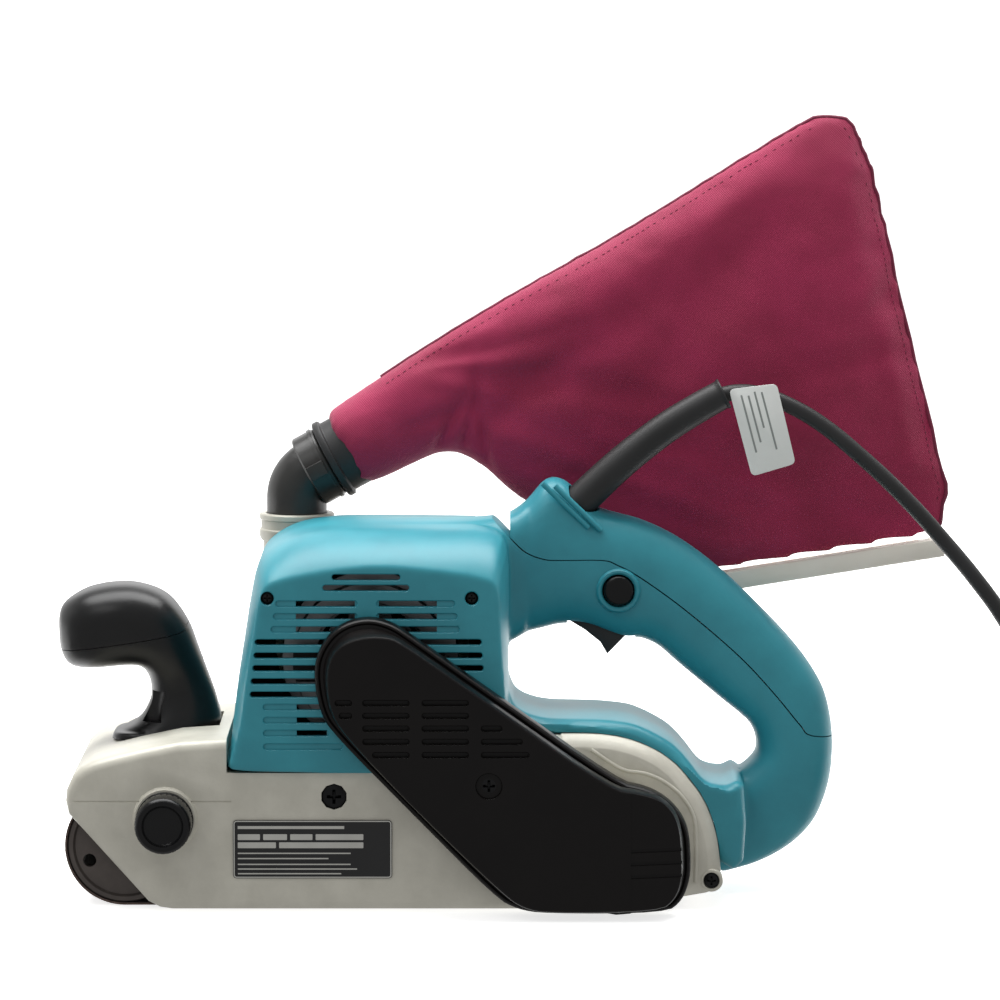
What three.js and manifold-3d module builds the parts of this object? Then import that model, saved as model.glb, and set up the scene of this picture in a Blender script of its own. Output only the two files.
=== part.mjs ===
// Handheld belt sander. Millimetres, +Z up, +X towards the rear handle, -Y is the drive-belt side.
// Origin: middle of the sanding face, bottom of the sanding belt at z = 0.
import * as THREE from 'three';
import { mergeVertices } from 'three/addons/utils/BufferGeometryUtils.js';
import Module from 'manifold-3d';

const wasm = await Module();
wasm.setup();

// ---- driving dimensions ----
const GAP = 0.3;
const BELT_WIDTH = 100;
const BELT_THICK = 1;
const ROLLER_R = 25.7;
const ROLLER_Z = 27;
const FRONT_X = -110.9;
const REAR_X = 110.9;
const MOTOR_X = -0.5;
const MOTOR_Z = 110;
const PULLEY_SMALL_R = 5;
const PULLEY_LARGE_R = 22.5;
const FRAME_Y = -69;
const FACE_Y = -72;
const COVER_Y = -95;
const DECK_Z = 57.5;
const SPLIT_Y = 20;
const OUTLET_X = -35.9;
const OUTLET_Y = 38;
const OUTLET_LEAN = THREE.MathUtils.degToRad(28.6);
const ELBOW_Z = 184.2;
const CORD_R = 3.7;
const CORD_Y = -5;
const COIL_AT = [353, -66];
const COIL_MID_R = 43;
const COIL_HALF = 15;

// ---- outlines in the X-Z plane ----
const TOP_EDGE = [
  [-136.2, 50], [-135.7, 55], [-132.9, 61.3], [-129.3, 65], [-124.4, 67.7],
  [-114.5, 70.4], [-103.3, 73.1], [-85.8, 76.7], [-64.4, 78.1], [86, 78.1],
];
const SIDE = [
  [-88.7, 0.9], [-94.1, 1.7], [-99.4, 4.4], [-129.6, 38.2], [-134.9, 44], ...TOP_EDGE,
  [86, 70], [100, 60.5], [118, 48], [130, 38], [130, 16], [121, 5], [110, 0.9],
];
const DECK = [
  ...TOP_EDGE, [86, DECK_Z], [-110.9, DECK_Z], [-116.2, 57], [-123.8, 54.6], [-130.5, 50.4],
  [-135.2, 46],
];
const GUARD_OUT = [
  [88.2, 78.8], [100, 78.6], [110.6, 77.4], [120.5, 74.6], [129.9, 70.1], [137.4, 64.4],
  [143.4, 57.5], [147.9, 51.5], [151.5, 44.8], [154.6, 36], [156.5, 26.7], [157.5, 13],
  [154.5, 7.5], [140, 4.5],
];
const GUARD_IN = [
  [140, 8], [152, 11], [153.5, 26.4], [151.8, 35], [148.9, 43.5], [141.2, 55.6], [135.4, 61.9],
  [128.2, 67.4], [119.5, 71.7], [110.2, 74.4], [100, 75.4], [88.2, 75.6],
];
const FACE_EDGE = [
  [-62.6, 66.5], [-57.5, 85.6], [-55, 103.7], [-52, 121.7], [-49.4, 138], [-46.6, 146.2],
  [-41.8, 149.3], [-30.7, 151.8], [-12.9, 154.7], [6.6, 156], [31.5, 153.8], [48.5, 151.1],
  [56.9, 145.7], [58.2, 123.3], [60.4, 98], [61, 80], [61, 64], [-50, 64],
];
const BODY_EDGE = [
  [-63.4, 70], [-61.8, 85.6], [-59.5, 103.7], [-56.7, 121.7], [-53.8, 139.8], [-50.4, 154.2],
  [-43.5, 161.6], [-32, 167], [-14, 169.5], [8, 169.7], [31.5, 169.4], [52, 168.2],
  [61.3, 160], [62, 125], [62.2, 98], [62.3, 80], [62.3, 63.4], [-57, 63.4],
];
const FLANGE = [
  [-24.9, 109.9], [-22, 121], [-14, 130.6], [-1.4, 134.6], [10, 132], [19, 126], [55, 100.5],
  [111.7, 60.3], [121, 58.6], [129.2, 55.4], [137, 49], [142.2, 40], [143.2, 28], [143.1, 17.4],
  [139.5, 7], [132, 1.4], [78.3, 1.2], [66, 3.2], [56.4, 8.3], [20, 45.4], [-15.8, 82],
  [-22, 92],
];
const RAISED = [
  [-18.6, 112.1], [-15.5, 120.5], [-9.4, 125.7], [0, 127.7], [8, 127.4], [14.1, 125.5],
  [60, 93], [107.7, 59.5], [119, 57.8], [129, 55], [135, 49.5], [137.9, 41.6], [138.8, 30],
  [138.8, 19.2], [136, 10.5], [129.1, 4.8], [80, 4], [69, 6], [60, 12], [22, 49], [-11, 84],
  [-17.5, 96],
];
const PARTING = [
  [50, 176], [56.4, 170.2], [63.2, 162.9], [70, 156.5], [78.2, 153.3], [86.3, 152.8],
  [104.9, 152.8], [111.7, 150.6], [121.2, 145.5], [138.5, 133.2], [155.7, 119.1], [170.7, 105.4],
  [184.7, 89.9], [195.2, 77.1], [201.1, 72.1], [225, 70.2],
];
// outer point, inner point, half width
const HANDLE = [
  [35, 167, 35, 104, 20], [52, 169.9, 55, 108, 19], [61, 172, 63, 115.8, 18.4],
  [70, 178, 71, 118.3, 18], [78.7, 187.6, 78, 120, 18], [86, 188.2, 84, 121.5, 18],
  [93, 183.2, 91, 122, 18], [101.6, 175.8, 99, 121, 18], [111, 172.6, 107, 118, 18],
  [122.1, 169.6, 115.4, 115.2, 17.8], [135.9, 163.4, 122.3, 115.4, 17.4],
  [149.6, 154.4, 130.5, 111.8, 17.2], [163.4, 142.9, 139.5, 104, 17.2],
  [177.2, 129.5, 149.8, 95.4, 17.2], [191, 114.8, 160, 86.9, 17.2], [201, 101.5, 168, 80.5, 17.2],
  [207.4, 88.5, 172.8, 75.6, 17.4], [210.4, 71, 175.4, 68.6, 17.6],
  [209.7, 53.7, 174.2, 61.4, 18], [206.1, 39.8, 165, 53.5, 18], [200.4, 28.9, 150, 44, 18],
  [190, 19.2, 150, 33, 18], [176, 12, 150, 24, 18], [161.5, 8.2, 150, 15, 18],
];
// rear point, front point, half width
const GRIP = [
  [-70.6, 70, -118.6, 70, 21], [-69.8, 74.5, -116, 73.4, 20.6], [-69.5, 79.2, -107, 78.6, 19.6],
  [-71, 86, -102.4, 86, 17.6], [-73, 92.4, -101.3, 91, 16.6], [-76, 100.5, -102.1, 97, 17],
  [-79.2, 109.2, -104.2, 100.9, 18.6], [-84.6, 123.1, -107, 102.7, 21],
  [-93.5, 134.8, -112, 102.9, 23], [-105.4, 139.9, -118.1, 102.4, 24],
  [-117, 140.7, -124.6, 101.8, 24], [-129, 138.6, -131, 101.6, 22.4],
  [-137, 134.6, -137, 102.6, 18.6], [-141.6, 130.6, -140.6, 105.6, 13.6],
  [-143.7, 126, -143.1, 110.8, 8],
];
const GRIP_SPLIT = [[-150, 109.6], [-91.6, 118.4], [-84, 123], [-70, 133]];
// upper point, lower point, half thickness
const BAG = [
  [-22.6, 214.2, -4.9, 181.6, 18.5], [-12, 221.5, 7.4, 186.2, 19], [3, 231.6, 19, 191.8, 19],
  [16, 240.4, 31, 196.4, 18.6], [30, 249.6, 41, 195.4, 17.8], [46, 260, 52, 188.4, 17.2],
  [64, 271, 62, 179, 17], [84, 283, 74, 170, 17], [106, 296.2, 91, 152, 17],
  [128, 309.8, 110, 134.6, 16.6], [150.3, 323.4, 135, 138, 16], [171, 336, 160, 141.9, 15],
  [190, 347.4, 186, 146, 13.6], [204, 354.2, 208, 149.5, 11.8], [214.5, 354, 228, 152.7, 9.4],
  [222.6, 347.6, 244, 155.2, 6.6], [227, 338.5, 256, 157.2, 4.2], [230, 331, 262.6, 160, 3],
  [233, 320, 265.2, 168, 2.4], [238.5, 298, 266, 182, 1.6],
];
const GUARD_PATH = [
  [87, 170.5], [94.4, 178], [103, 186.4], [113, 195.6], [124, 204.6], [136, 213.4], [148, 220.8],
  [157.5, 226.2], [160.6, 227.8],
];

// ---- helpers ----
function polygon(points, holes) {
  const shape = new THREE.Shape(points.map(([x, z]) => new THREE.Vector2(x, z)));
  for (const hole of holes) {
    shape.holes.push(new THREE.Path(hole.map(([x, z]) => new THREE.Vector2(x, z))));
  }
  return shape;
}

function solid(source) {
  const clean = source.clone();
  clean.deleteAttribute('normal');
  clean.deleteAttribute('uv');
  const merged = mergeVertices(clean, 1e-4);
  const place = merged.attributes.position.array;
  const index = merged.index.array;
  const kept = [];
  let volume = 0;
  for (let i = 0; i < index.length; i += 3) {
    const [a, b, c] = [index[i], index[i + 1], index[i + 2]];
    if (a === b || b === c || a === c) {
      continue;
    }
    kept.push(a, b, c);
    const p = new THREE.Vector3().fromArray(place, a * 3);
    const q = new THREE.Vector3().fromArray(place, b * 3);
    const r = new THREE.Vector3().fromArray(place, c * 3);
    volume += p.dot(q.cross(r));
  }
  if (volume < 0) {
    kept.reverse();
  }
  return new wasm.Manifold(new wasm.Mesh({
    numProp: 3,
    vertProperties: new Float32Array(place),
    triVerts: new Uint32Array(kept),
  }));
}

function join(first, ...rest) {
  return rest.reduce((sum, next) => sum.add(next), first);
}

function cut(first, ...rest) {
  return rest.reduce((left, next) => left.subtract(next), first);
}

// a flat outline carried from y0 to y1, its edges rounded
function along(points, y0, y1, round = 0, steps = 3, holes = []) {
  const shape = new THREE.ExtrudeGeometry(polygon(points, holes), {
    depth: y1 - y0 - 2 * round,
    bevelEnabled: round > 0,
    bevelThickness: round,
    bevelSize: round,
    bevelOffset: -round,
    bevelSegments: steps,
  });
  shape.rotateX(Math.PI / 2);
  shape.translate(0, y1 - round, 0);
  return solid(shape);
}

// a profile of [radius, distance along the axis] turned about 'X', 'Y' or 'Z'
function turned(profile, axis, at, sides = 24) {
  const shape = new THREE.LatheGeometry(profile.map(([r, t]) => new THREE.Vector2(r, t)), sides);
  if (axis === 'X') {
    shape.rotateZ(-Math.PI / 2);
  }
  if (axis === 'Z') {
    shape.rotateX(Math.PI / 2);
  }
  shape.translate(...at);
  return solid(shape);
}

function rod(radius, from, to, axis, at, sides = 24) {
  return turned([[0, from], [radius, from], [radius, to], [0, to]], axis, at, sides);
}

function ring(inner, outer, from, to, axis, at, sides = 24) {
  const profile = [[inner, from], [outer, from], [outer, to], [inner, to], [inner, from]];
  return turned(profile, axis, at, sides);
}

function block(x, y, z) {
  const shape = new THREE.BoxGeometry(x[1] - x[0], y[1] - y[0], z[1] - z[0]);
  shape.translate((x[0] + x[1]) / 2, (y[0] + y[1]) / 2, (z[0] + z[1]) / 2);
  return solid(shape);
}

// a closed skin through rings of equal length, with flat ends
function skin(rings) {
  const count = rings[0].length;
  const place = [];
  for (const points of rings) {
    for (const point of points) {
      place.push(...point);
    }
  }
  const faces = [];
  for (let i = 0; i < rings.length - 1; i += 1) {
    for (let j = 0; j < count; j += 1) {
      const a = i * count + j;
      const b = i * count + (j + 1) % count;
      faces.push(a, b, b + count, a, b + count, a + count);
    }
  }
  for (const [base, side] of [[0, 1], [(rings.length - 1) * count, -1]]) {
    const middle = place.length / 3;
    const centre = [0, 0, 0];
    for (let j = 0; j < count; j += 1) {
      for (let k = 0; k < 3; k += 1) {
        centre[k] += place[(base + j) * 3 + k] / count;
      }
    }
    place.push(...centre);
    for (let j = 0; j < count; j += 1) {
      const next = base + (j + 1) % count;
      faces.push(...(side > 0 ? [middle, next, base + j] : [middle, base + j, next]));
    }
  }
  const shape = new THREE.BufferGeometry();
  shape.setAttribute('position', new THREE.Float32BufferAttribute(place, 3));
  shape.setIndex(faces);
  return solid(shape);
}

// a superellipse between two points of the X-Z plane, `half` wide each side of `y`
function slice([x0, z0, x1, z1, half], y, sides, power, grow = 0) {
  const length = Math.hypot(x0 - x1, z0 - z1) / 2;
  const scale = (length + grow) / length;
  const points = [];
  for (let i = 0; i < sides; i += 1) {
    const turn = 2 * Math.PI * (i + 0.5) / sides;
    const c = Math.sign(Math.cos(turn)) * Math.abs(Math.cos(turn)) ** power * scale;
    const s = Math.sign(Math.sin(turn)) * Math.abs(Math.sin(turn)) ** power;
    const x = (x0 + x1) / 2 + c * (x0 - x1) / 2;
    const z = (z0 + z1) / 2 + c * (z0 - z1) / 2;
    points.push([x, y + s * (half + grow), z]);
  }
  return points;
}

function bar(stations, y, sides, power, grow = 0) {
  return skin(stations.map((station) => slice(station, y, sides, power, grow)));
}

// a round tube of changing radius along a path in the plane y = const
function hose(path, radii, y, sides = 14) {
  const rings = path.map(([x, z], i) => {
    const [px, pz] = path[Math.max(i - 1, 0)];
    const [nx, nz] = path[Math.min(i + 1, path.length - 1)];
    const length = Math.hypot(nx - px, nz - pz);
    const side = [(pz - nz) / length, (nx - px) / length];
    const r = Array.isArray(radii) ? radii[i] : radii;
    return slice([x + side[0] * r, z + side[1] * r, x - side[0] * r, z - side[1] * r, r], y,
      sides, 1);
  });
  return skin(rings);
}

function shrink(points, by) {
  const cx = points.reduce((sum, p) => sum + p[0], 0) / points.length;
  const cz = points.reduce((sum, p) => sum + p[1], 0) / points.length;
  return points.map(([x, z]) => {
    const far = Math.hypot(x - cx, z - cz);
    return [x - by * (x - cx) / far, z - by * (z - cz) / far];
  });
}

// a screw whose head top sits at `at` and looks along `face`
function screwShape(at, face, head, headDepth, shank, length, grow, sides) {
  const top = grow > 0 ? -3 : 0;
  const profile = [
    [0, top], [head + grow, top], [head + grow, headDepth + grow],
    [shank + grow, headDepth + grow], [shank + grow, length + grow], [0, length + grow],
  ];
  const shape = new THREE.LatheGeometry(profile.map(([r, t]) => new THREE.Vector2(r, t)), sides);
  const turn = new THREE.Quaternion();
  turn.setFromUnitVectors(new THREE.Vector3(0, -1, 0), new THREE.Vector3(...face));
  shape.applyQuaternion(turn);
  shape.translate(...at);
  return solid(shape);
}

function screw(at, face, head, headDepth, shank, length) {
  const recess = [];
  for (const wide of [true, false]) {
    const long = head * 1.1;
    const shape = new THREE.BoxGeometry(wide ? long : head * 0.26, 2.4, wide ? head * 0.26 : long);
    const turn = new THREE.Quaternion();
    turn.setFromUnitVectors(new THREE.Vector3(0, -1, 0), new THREE.Vector3(...face));
    shape.applyQuaternion(turn);
    shape.translate(...at);
    recess.push(solid(shape));
  }
  return cut(screwShape(at, face, head, headDepth, shank, length, 0, 10), ...recess);
}

function socket(at, face, head, headDepth, shank, length) {
  return screwShape(at, face, head, headDepth, shank, length, GAP, 10);
}

// a rounded slot through a wall facing -Y
function vent(x0, x1, z, height, y0, y1) {
  const r = height / 2;
  return along([
    [x0 + r * 0.7, z - r], [x1 - r * 0.7, z - r], [x1, z - r * 0.3], [x1, z + r * 0.3],
    [x1 - r * 0.7, z + r], [x0 + r * 0.7, z + r], [x0, z + r * 0.3], [x0, z - r * 0.3],
  ], y0, y1);
}

// the outline of a belt laid around two circles, `r` and `s` the two radii
function loop(ax, az, r, bx, bz, s, steps) {
  const tilt = Math.atan2(bz - az, bx - ax);
  const lean = Math.acos((r - s) / Math.hypot(bx - ax, bz - az));
  const points = [];
  for (let i = 0; i <= steps; i += 1) {
    const turn = tilt + lean + (2 * Math.PI - 2 * lean) * i / steps;
    points.push([ax + r * Math.cos(turn), az + r * Math.sin(turn)]);
  }
  for (let i = 0; i <= steps; i += 1) {
    const turn = tilt - lean + 2 * lean * i / steps;
    points.push([bx + s * Math.cos(turn), bz + s * Math.sin(turn)]);
  }
  return points;
}

// ---- where the screws go: head centre, facing, head radius and depth, shank radius, length ----
const NEAR = [0, -1, 0];
const FAR = [0, 1, 0];
const UP = [0, 0, 1];
const SCREWS = {
  side_screw: [[-16, FRAME_Y - 0.2, 52.3], NEAR, 5.6, 4.2, 2.5, 12],
  belt_cover_screw: [[53.3, COVER_Y + 1.2, 61], NEAR, 4.8, 3, 2.2, 34],
  rear_screw: [[153.2, -60.6, 12.8], NEAR, 3.4, 2, 1, 4.6],
  housing_screw_front: [[-45.4, FACE_Y + 1.4, 141.9], NEAR, 2.7, 2.2, 1.3, 7],
  housing_screw_rear: [[45.6, FACE_Y + 1.4, 141.9], NEAR, 2.7, 2.2, 1.3, 7],
  handle_screw_upper: [[140, 16.2, 142], FAR, 3, 2.4, 1.4, 11],
  handle_screw_lower: [[190, 16.4, 96], FAR, 3, 2.4, 1.4, 11],
  fan_cover_screw: [[45.5, 59.6, 140], FAR, 3, 2, 1.5, 12],
  platen_screw_front: [[-36, -30, 18.4], UP, 4, 2.2, 2, 12.2],
  platen_screw_rear: [[52, -30, 18.4], UP, 4, 2.2, 2, 12.2],
  front_grip_screw: [[-100.8, -14.4, 78.2], UP, 3.1, 2.2, 1.5, 13],
};

function sockets(...names) {
  return names.map((name) => socket(...SCREWS[name]));
}

// ---- castings and shells ----
function mainFrame() {
  const wall = along(SIDE, FRAME_Y, -54.5, 4.5);
  const deck = along(DECK, -66.5, 50, 2, 2);
  const arm = block([-60, 80], [-60, 46], [8, 48]);
  const pad = along([
    [8, 62.7], [104, 62.7], [127, 53], [139, 39], [140, 18], [130, 3.6], [80, 3.6], [59, 11.6],
  ], FACE_Y, -62.4);
  const boss = rod(16.3, -64, -36, 'Y', [REAR_X, 0, ROLLER_Z]);
  const knobBoss = turned([[0, -60], [15, -60], [15, -68.6], [13.6, -71], [0, -71]], 'Y',
    [-91.5, 0, 42.1]);
  const behindGuard = cut(block([86.3, 160], [-60.4, -40], [-5, 90]),
    rod(16.4, -70, -30, 'Y', [REAR_X, 0, ROLLER_Z]));
  const pin = rod(3, 14, 45, 'Z', [-45, 44.5, 0], 16);
  const pads = [-1, 1].map((s) => ring(2, 6, 14, 18, 'Z', [s * 44 + 8, -30, 0], 16));
  return join(cut(join(wall, deck, arm, pad, boss, knobBoss),
    behindGuard,
    block([-64, 62.6], [-80, 60], [63, 100]),
    block([-52, 73], [-50, 60], [16, 43]),
    block([70, 90], [18, 46], [60.5, 75]),
    block([-121, -69.3], [-22.5, 22.5], [69.7, 90]),
    block([-134, -62], [-70, -68.6], [49.8, 50.4]),
    rod(5.3, -70, -40, 'X', [0, 0, ROLLER_Z], 20),
    rod(4.4, -80, -56, 'Y', [-91.5, 0, 42.1], 20),
    rod(13.3, -80, -63.6, 'Y', [REAR_X, 0, ROLLER_Z]),
    rod(5.5, -70, -30, 'Y', [REAR_X, 0, ROLLER_Z]),
    ...sockets('side_screw', 'belt_cover_screw', 'platen_screw_front', 'platen_screw_rear',
      'front_grip_screw')), pin);
}

function rearGuard() {
  const shell = along([...GUARD_OUT, ...GUARD_IN], -60, 50, 1, 1);
  const plate = along([...GUARD_OUT, [120, 3], [95, 3], [88.2, 12]], -60, -55.4, 1, 1);
  const ear = rod(5.2, -60, -52, 'Y', [153.2, 0, 12.8], 20);
  return cut(join(shell, plate, ear),
    rod(17.2, -70, -40, 'Y', [REAR_X, 0, ROLLER_Z]),
    ...sockets('rear_screw'));
}

function shellRings(edge, body, y0, reach, steps, y1) {
  const rings = [];
  for (let i = 0; i <= steps; i += 1) {
    const turn = Math.PI / 2 * i / steps;
    const y = y0 + reach * (1 - Math.cos(turn));
    const w = Math.sin(turn);
    rings.push(edge.map(([x, z], k) => [
      x + (body[k][0] - x) * w, y, z + (body[k][1] - z) * w,
    ]));
  }
  rings.push(body.map(([x, z]) => [x, y1, z]));
  return rings;
}

function handleBar(grow = 0) {
  return bar(HANDLE, 0, 14, 0.74, grow);
}

function fullHousing() {
  const body = skin(shellRings(FACE_EDGE, BODY_EDGE, FACE_Y, 36, 6, SPLIT_Y));
  const flare = skin([
    [-24, 150, 168.6, -34, 19], [10, 140, 170, -34, 19], [34, 122, 170.3, -30, 19],
    [50, 113, 170.8, -25, 19], [62, 114, 172.4, -20, 18.6], [70, 118, 177, -17.8, 17.8],
  ].map(([x, z0, z1, y0, y1]) => {
    const points = [];
    for (let i = 0; i < 16; i += 1) {
      const turn = 2 * Math.PI * (i + 0.5) / 16;
      const c = Math.sign(Math.cos(turn)) * Math.abs(Math.cos(turn)) ** 0.62;
      const s = Math.sign(Math.sin(turn)) * Math.abs(Math.sin(turn)) ** 0.62;
      points.push([x, (y0 + y1) / 2 + c * (y1 - y0) / 2, (z0 + z1) / 2 + s * (z1 - z0) / 2]);
    }
    return points;
  }));
  const arch = along([
    [58, 79.1], [58, 97], [62.3, 97], [64.5, 91.5], [69, 88], [76, 85.7], [84, 84.8],
    [101.7, 84.4], [115.5, 83], [122.4, 80.8], [129.3, 77.4], [136.2, 73], [143.1, 65.6],
    [148.5, 58.4], [153, 55.5], [160, 54.5], [168, 54.8], [168, 20], [157, 20], [140, 50],
    [120, 70], [100, 76],
  ], -66, 19.6, 2.4, 2);
  return join(body, flare, arch, handleBar());
}

function guardSpace() {
  const edge = [[86, 60], [86, 79.1], ...GUARD_OUT.map(([x, z]) => [x + 0.35, z + 0.35])];
  return along([...edge, [140, 0], [86, 0]], -90, 60);
}

function handleChamber() {
  return join(
    along([[84, 127], [88.8, 127], [88.8, 106], [120, 106], [120, 123], [136, 121], [136, 150],
      [108, 166], [92, 174], [81, 168], [78, 158], [80, 130]], -9, 9),
    along([[80, 131], [134, 128], [136, 149], [108, 164], [90, 170], [80, 164]], -13, 13, 3, 2),
    rod(7.3, -22, -8, 'Y', [112, 0, 138.8], 24),
    hose([[80.5, 163.9], [104, 187.4]], 8.8, CORD_Y),
  );
}

function upperRegion(shift) {
  const line = PARTING.map(([x, z]) => [x + shift * 0.7, z + shift]);
  return along([...line, [240, 240], [50 + shift * 0.7, 240]], -60, 60);
}

function motorHousing() {
  const inner = skin(shellRings(shrink(FACE_EDGE, 3.4), shrink(BODY_EDGE, 3.2), FACE_Y + 3, 33, 5,
    SPLIT_Y + 2));
  const space = inner.subtract(block([52, 80], [-30, 40], [96, 200]))
    .subtract(block([-80, 80], [-80, 40], [40, 66.4]));
  const boss = ring(9.3, 13, -70, -60.4, 'Y', [MOTOR_X, 0, MOTOR_Z], 28);
  const posts = [-45.4, 45.6].map((x) => rod(5, -70, -60, 'Y', [x, 0, 141.9], 14));
  const collar = turned([[0, -15], [9.8, -15], [9.8, -18.2], [8.8, -19.4], [0, -19.4]], 'Y',
    [112, 0, 138.8], 24);
  const slots = [];
  const open = (x0, x1, z) => slots.push(vent(x0, x1, z, 2.5, FACE_Y - 3, FACE_Y + 7));
  const dent = (x0, x1, z) => slots.push(vent(x0, x1, z, 2.5, FACE_Y - 3, FACE_Y + 1));
  open(-16.6, 13.8, 151.4);
  open(-20.7, 17.8, 146.6);
  for (const [i, z] of [139.5, 133.8, 128].entries()) {
    dent(-41.6 - i, -30, z);
    open(-32.7, -5.4, z);
    open(3.3, 30.1, z);
    dent(29, 38 + i, z);
  }
  for (const [i, z] of [122.3, 116.3, 110.6].entries()) {
    open(-51 - i * 0.5, -17, z);
    open(17, 50 + i * 0.4, z);
  }
  for (const z of [104.7, 98.8]) {
    open(-52.8, -17, z);
  }
  for (const z of [93.1, 87.2, 81.4]) {
    dent(-47.2, -30, z);
    open(-32.5, -18, z);
  }
  dent(-47.2, -12, 75.3);
  const outside = cut(join(cut(fullHousing(), space), boss, ...posts, collar),
    guardSpace(), handleChamber(), upperRegion(-0.2));
  return cut(outside,
    block([-80, 62.6], [-69.3, 60], [40, 63.4]),
    block([62.5, 90], [-90, 60], [40, 78.4]),
    block([-90, 90], [-90, 60], [40, 63.4]),
    rod(5, -80, -60, 'Y', [MOTOR_X, 0, MOTOR_Z], 20),
    ...slots,
    ...sockets('housing_screw_front', 'housing_screw_rear', 'handle_screw_upper',
      'handle_screw_lower'));
}

function handleCover() {
  const ribs = [0, 1].map((i) => {
    const x = 82.5 + i * 5.6;
    const z = 181.4 - i * 1.2;
    return hose([[x - 5, z + 6.2], [x + 16, z - 14]], 1.6, -15.4, 8);
  });
  const body = join(handleBar(), ...ribs).intersect(upperRegion(0.2));
  return cut(body, handleChamber(), block([40, 63], [-60, 60], [150, 240]),
    ...sockets('handle_screw_upper', 'handle_screw_lower'));
}

function beltCover() {
  const body = join(along(FLANGE, -88, FACE_Y - GAP, 3.4), along(RAISED, COVER_Y, -76, 4.2));
  const cavity = along(loop(MOTOR_X, MOTOR_Z, 15.5, REAR_X, ROLLER_Z, 26.6, 10), -92, -60);
  const rim = along(shrink(FLANGE, 3.4), -80, -60).subtract(block([40, 66], [-90, -50], [48, 74]));
  // rows of shallow vents: height, first x and last x of each row
  const rows = [[98.2, -14.6, 44.2], [92.5, -12.8, 44.2], [86.8, -9.1, 59], [80.9, -3.2, 68],
    [75, 1.9, 71]];
  const slots = [];
  for (const [z, first, last] of rows) {
    for (const [x0, x1] of [[-16, -7.4], [-2.4, 18], [23.8, 44.2], [50, 71]]) {
      const ends = [Math.max(x0, first), Math.min(x1, last)];
      if (ends[1] - ends[0] > 4) {
        slots.push(block(ends, [COVER_Y - 2, COVER_Y + 1.2], [z - 1.1, z + 1.1]));
      }
    }
  }
  for (const z of [31.9, 26.1, 20.3]) {
    slots.push(block([116, 142], [COVER_Y - 2, COVER_Y + 0.9], [z, z + 1.2]));
  }
  return cut(body, cavity, rim, ...slots, ...sockets('belt_cover_screw'),
    rod(5.6, COVER_Y - 2, COVER_Y + 1.2, 'Y', [53.3, 0, 61], 20));
}

function fanHousing() {
  const outline = [
    [-56, 63.4], [-55, 100], [-51, 138], [-46, 151], [-36, 159], [-20, 163.4], [8, 164.6],
    [30, 160], [45, 148], [54, 130], [58, 100], [58, 63.4],
  ];
  const shell = along(outline, SPLIT_Y + GAP, 55, 1.6, 1);
  const neck = rod(15.5, 130, 160, 'Z', [OUTLET_X, OUTLET_Y, 0]);
  const collar = turned([[0, 156], [16.4, 156], [17.3, 157.6], [17.3, 161], [16.6, 161.6],
    [16.6, 165.4], [17.3, 166], [17.3, 168], [16.8, 168.6], [0, 168.6]], 'Z',
    [OUTLET_X, OUTLET_Y, 0]);
  const space = [MOTOR_X, 0, MOTOR_Z];
  return cut(join(shell, neck, collar),
    rod(43.5, 29, 60, 'Y', space, 32),
    rod(9.3, 18, 28.6, 'Y', space),
    rod(5, 18, 40, 'Y', space, 20),
    rod(12.3, 100, 170, 'Z', [OUTLET_X, OUTLET_Y, 0]),
    rod(14.3, 162, 170, 'Z', [OUTLET_X, OUTLET_Y, 0]),
    block([30, 60], [30, 46], [67, 75]),
    ...sockets('fan_cover_screw'));
}

function fanCover() {
  const outline = [
    [-54, 65], [-53, 100], [-49, 137], [-44, 149], [-34, 157], [-19, 161.4], [8, 162.6],
    [29, 158], [43.4, 147], [52, 129.4], [56, 100], [56, 65],
  ];
  const plate = along(outline, 55 + GAP, 59.4, 1.6, 1);
  const dome = turned([[0, 57], [24, 57], [22, 61.4], [19, 62.4], [0, 62.4]], 'Y',
    [MOTOR_X, 0, MOTOR_Z]);
  return cut(join(plate, dome), rod(17, 50, 60, 'Y', [MOTOR_X, 0, MOTOR_Z], 24),
    ...sockets('fan_cover_screw'));
}

// ---- sole ----
function platen() {
  return cut(block([-82, 88], [-50, 50], [5.7, 7.7]),
    ...sockets('platen_screw_front', 'platen_screw_rear'));
}

function graphiteSheet() {
  return along([[-80, 1.3], [86, 1.3], [90.4, 4.2], [91.2, 7.4], [90, 7.4], [89.2, 4.8],
    [85.6, 2.4], [-80, 2.4]], -49, 49);
}

// ---- front grip ----
function gripWhole() {
  return bar(GRIP, 0, 16, 0.78);
}

function gripUpper(shift) {
  const line = GRIP_SPLIT.map(([x, z]) => [x, z + shift]);
  return along([...line, [-60, 160], [-160, 160], [-160, 108 + shift]], -40, 40);
}

function gripBody() {
  const notch = join(rod(4.4, 78.2, 92, 'Z', [-100.8, -14.4, 0], 18),
    block([-105.2, -96.4], [-30, -14.4], [78.2, 92]));
  return cut(gripWhole(), gripUpper(-0.15), notch, ...sockets('front_grip_screw'));
}

function gripCap() {
  return gripWhole().intersect(gripUpper(0.15));
}

// ---- belt train ----
function sandingBelt() {
  const outer = loop(FRONT_X, ROLLER_Z, 27, REAR_X, ROLLER_Z, 27, 18);
  const inner = loop(FRONT_X, ROLLER_Z, 27 - BELT_THICK, REAR_X, ROLLER_Z, 27 - BELT_THICK, 18);
  return along(outer, -BELT_WIDTH / 2, BELT_WIDTH / 2, 0, 1, [inner]);
}

function rearRoller() {
  const at = [REAR_X, 0, ROLLER_Z];
  return join(ring(20, 22.8, -49.5, 49.5, 'Y', at), rod(21, 0, 8, 'Y', at),
    rod(9, -34, 1, 'Y', at, 24), rod(5, -90, 1, 'Y', at, 20));
}

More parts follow.
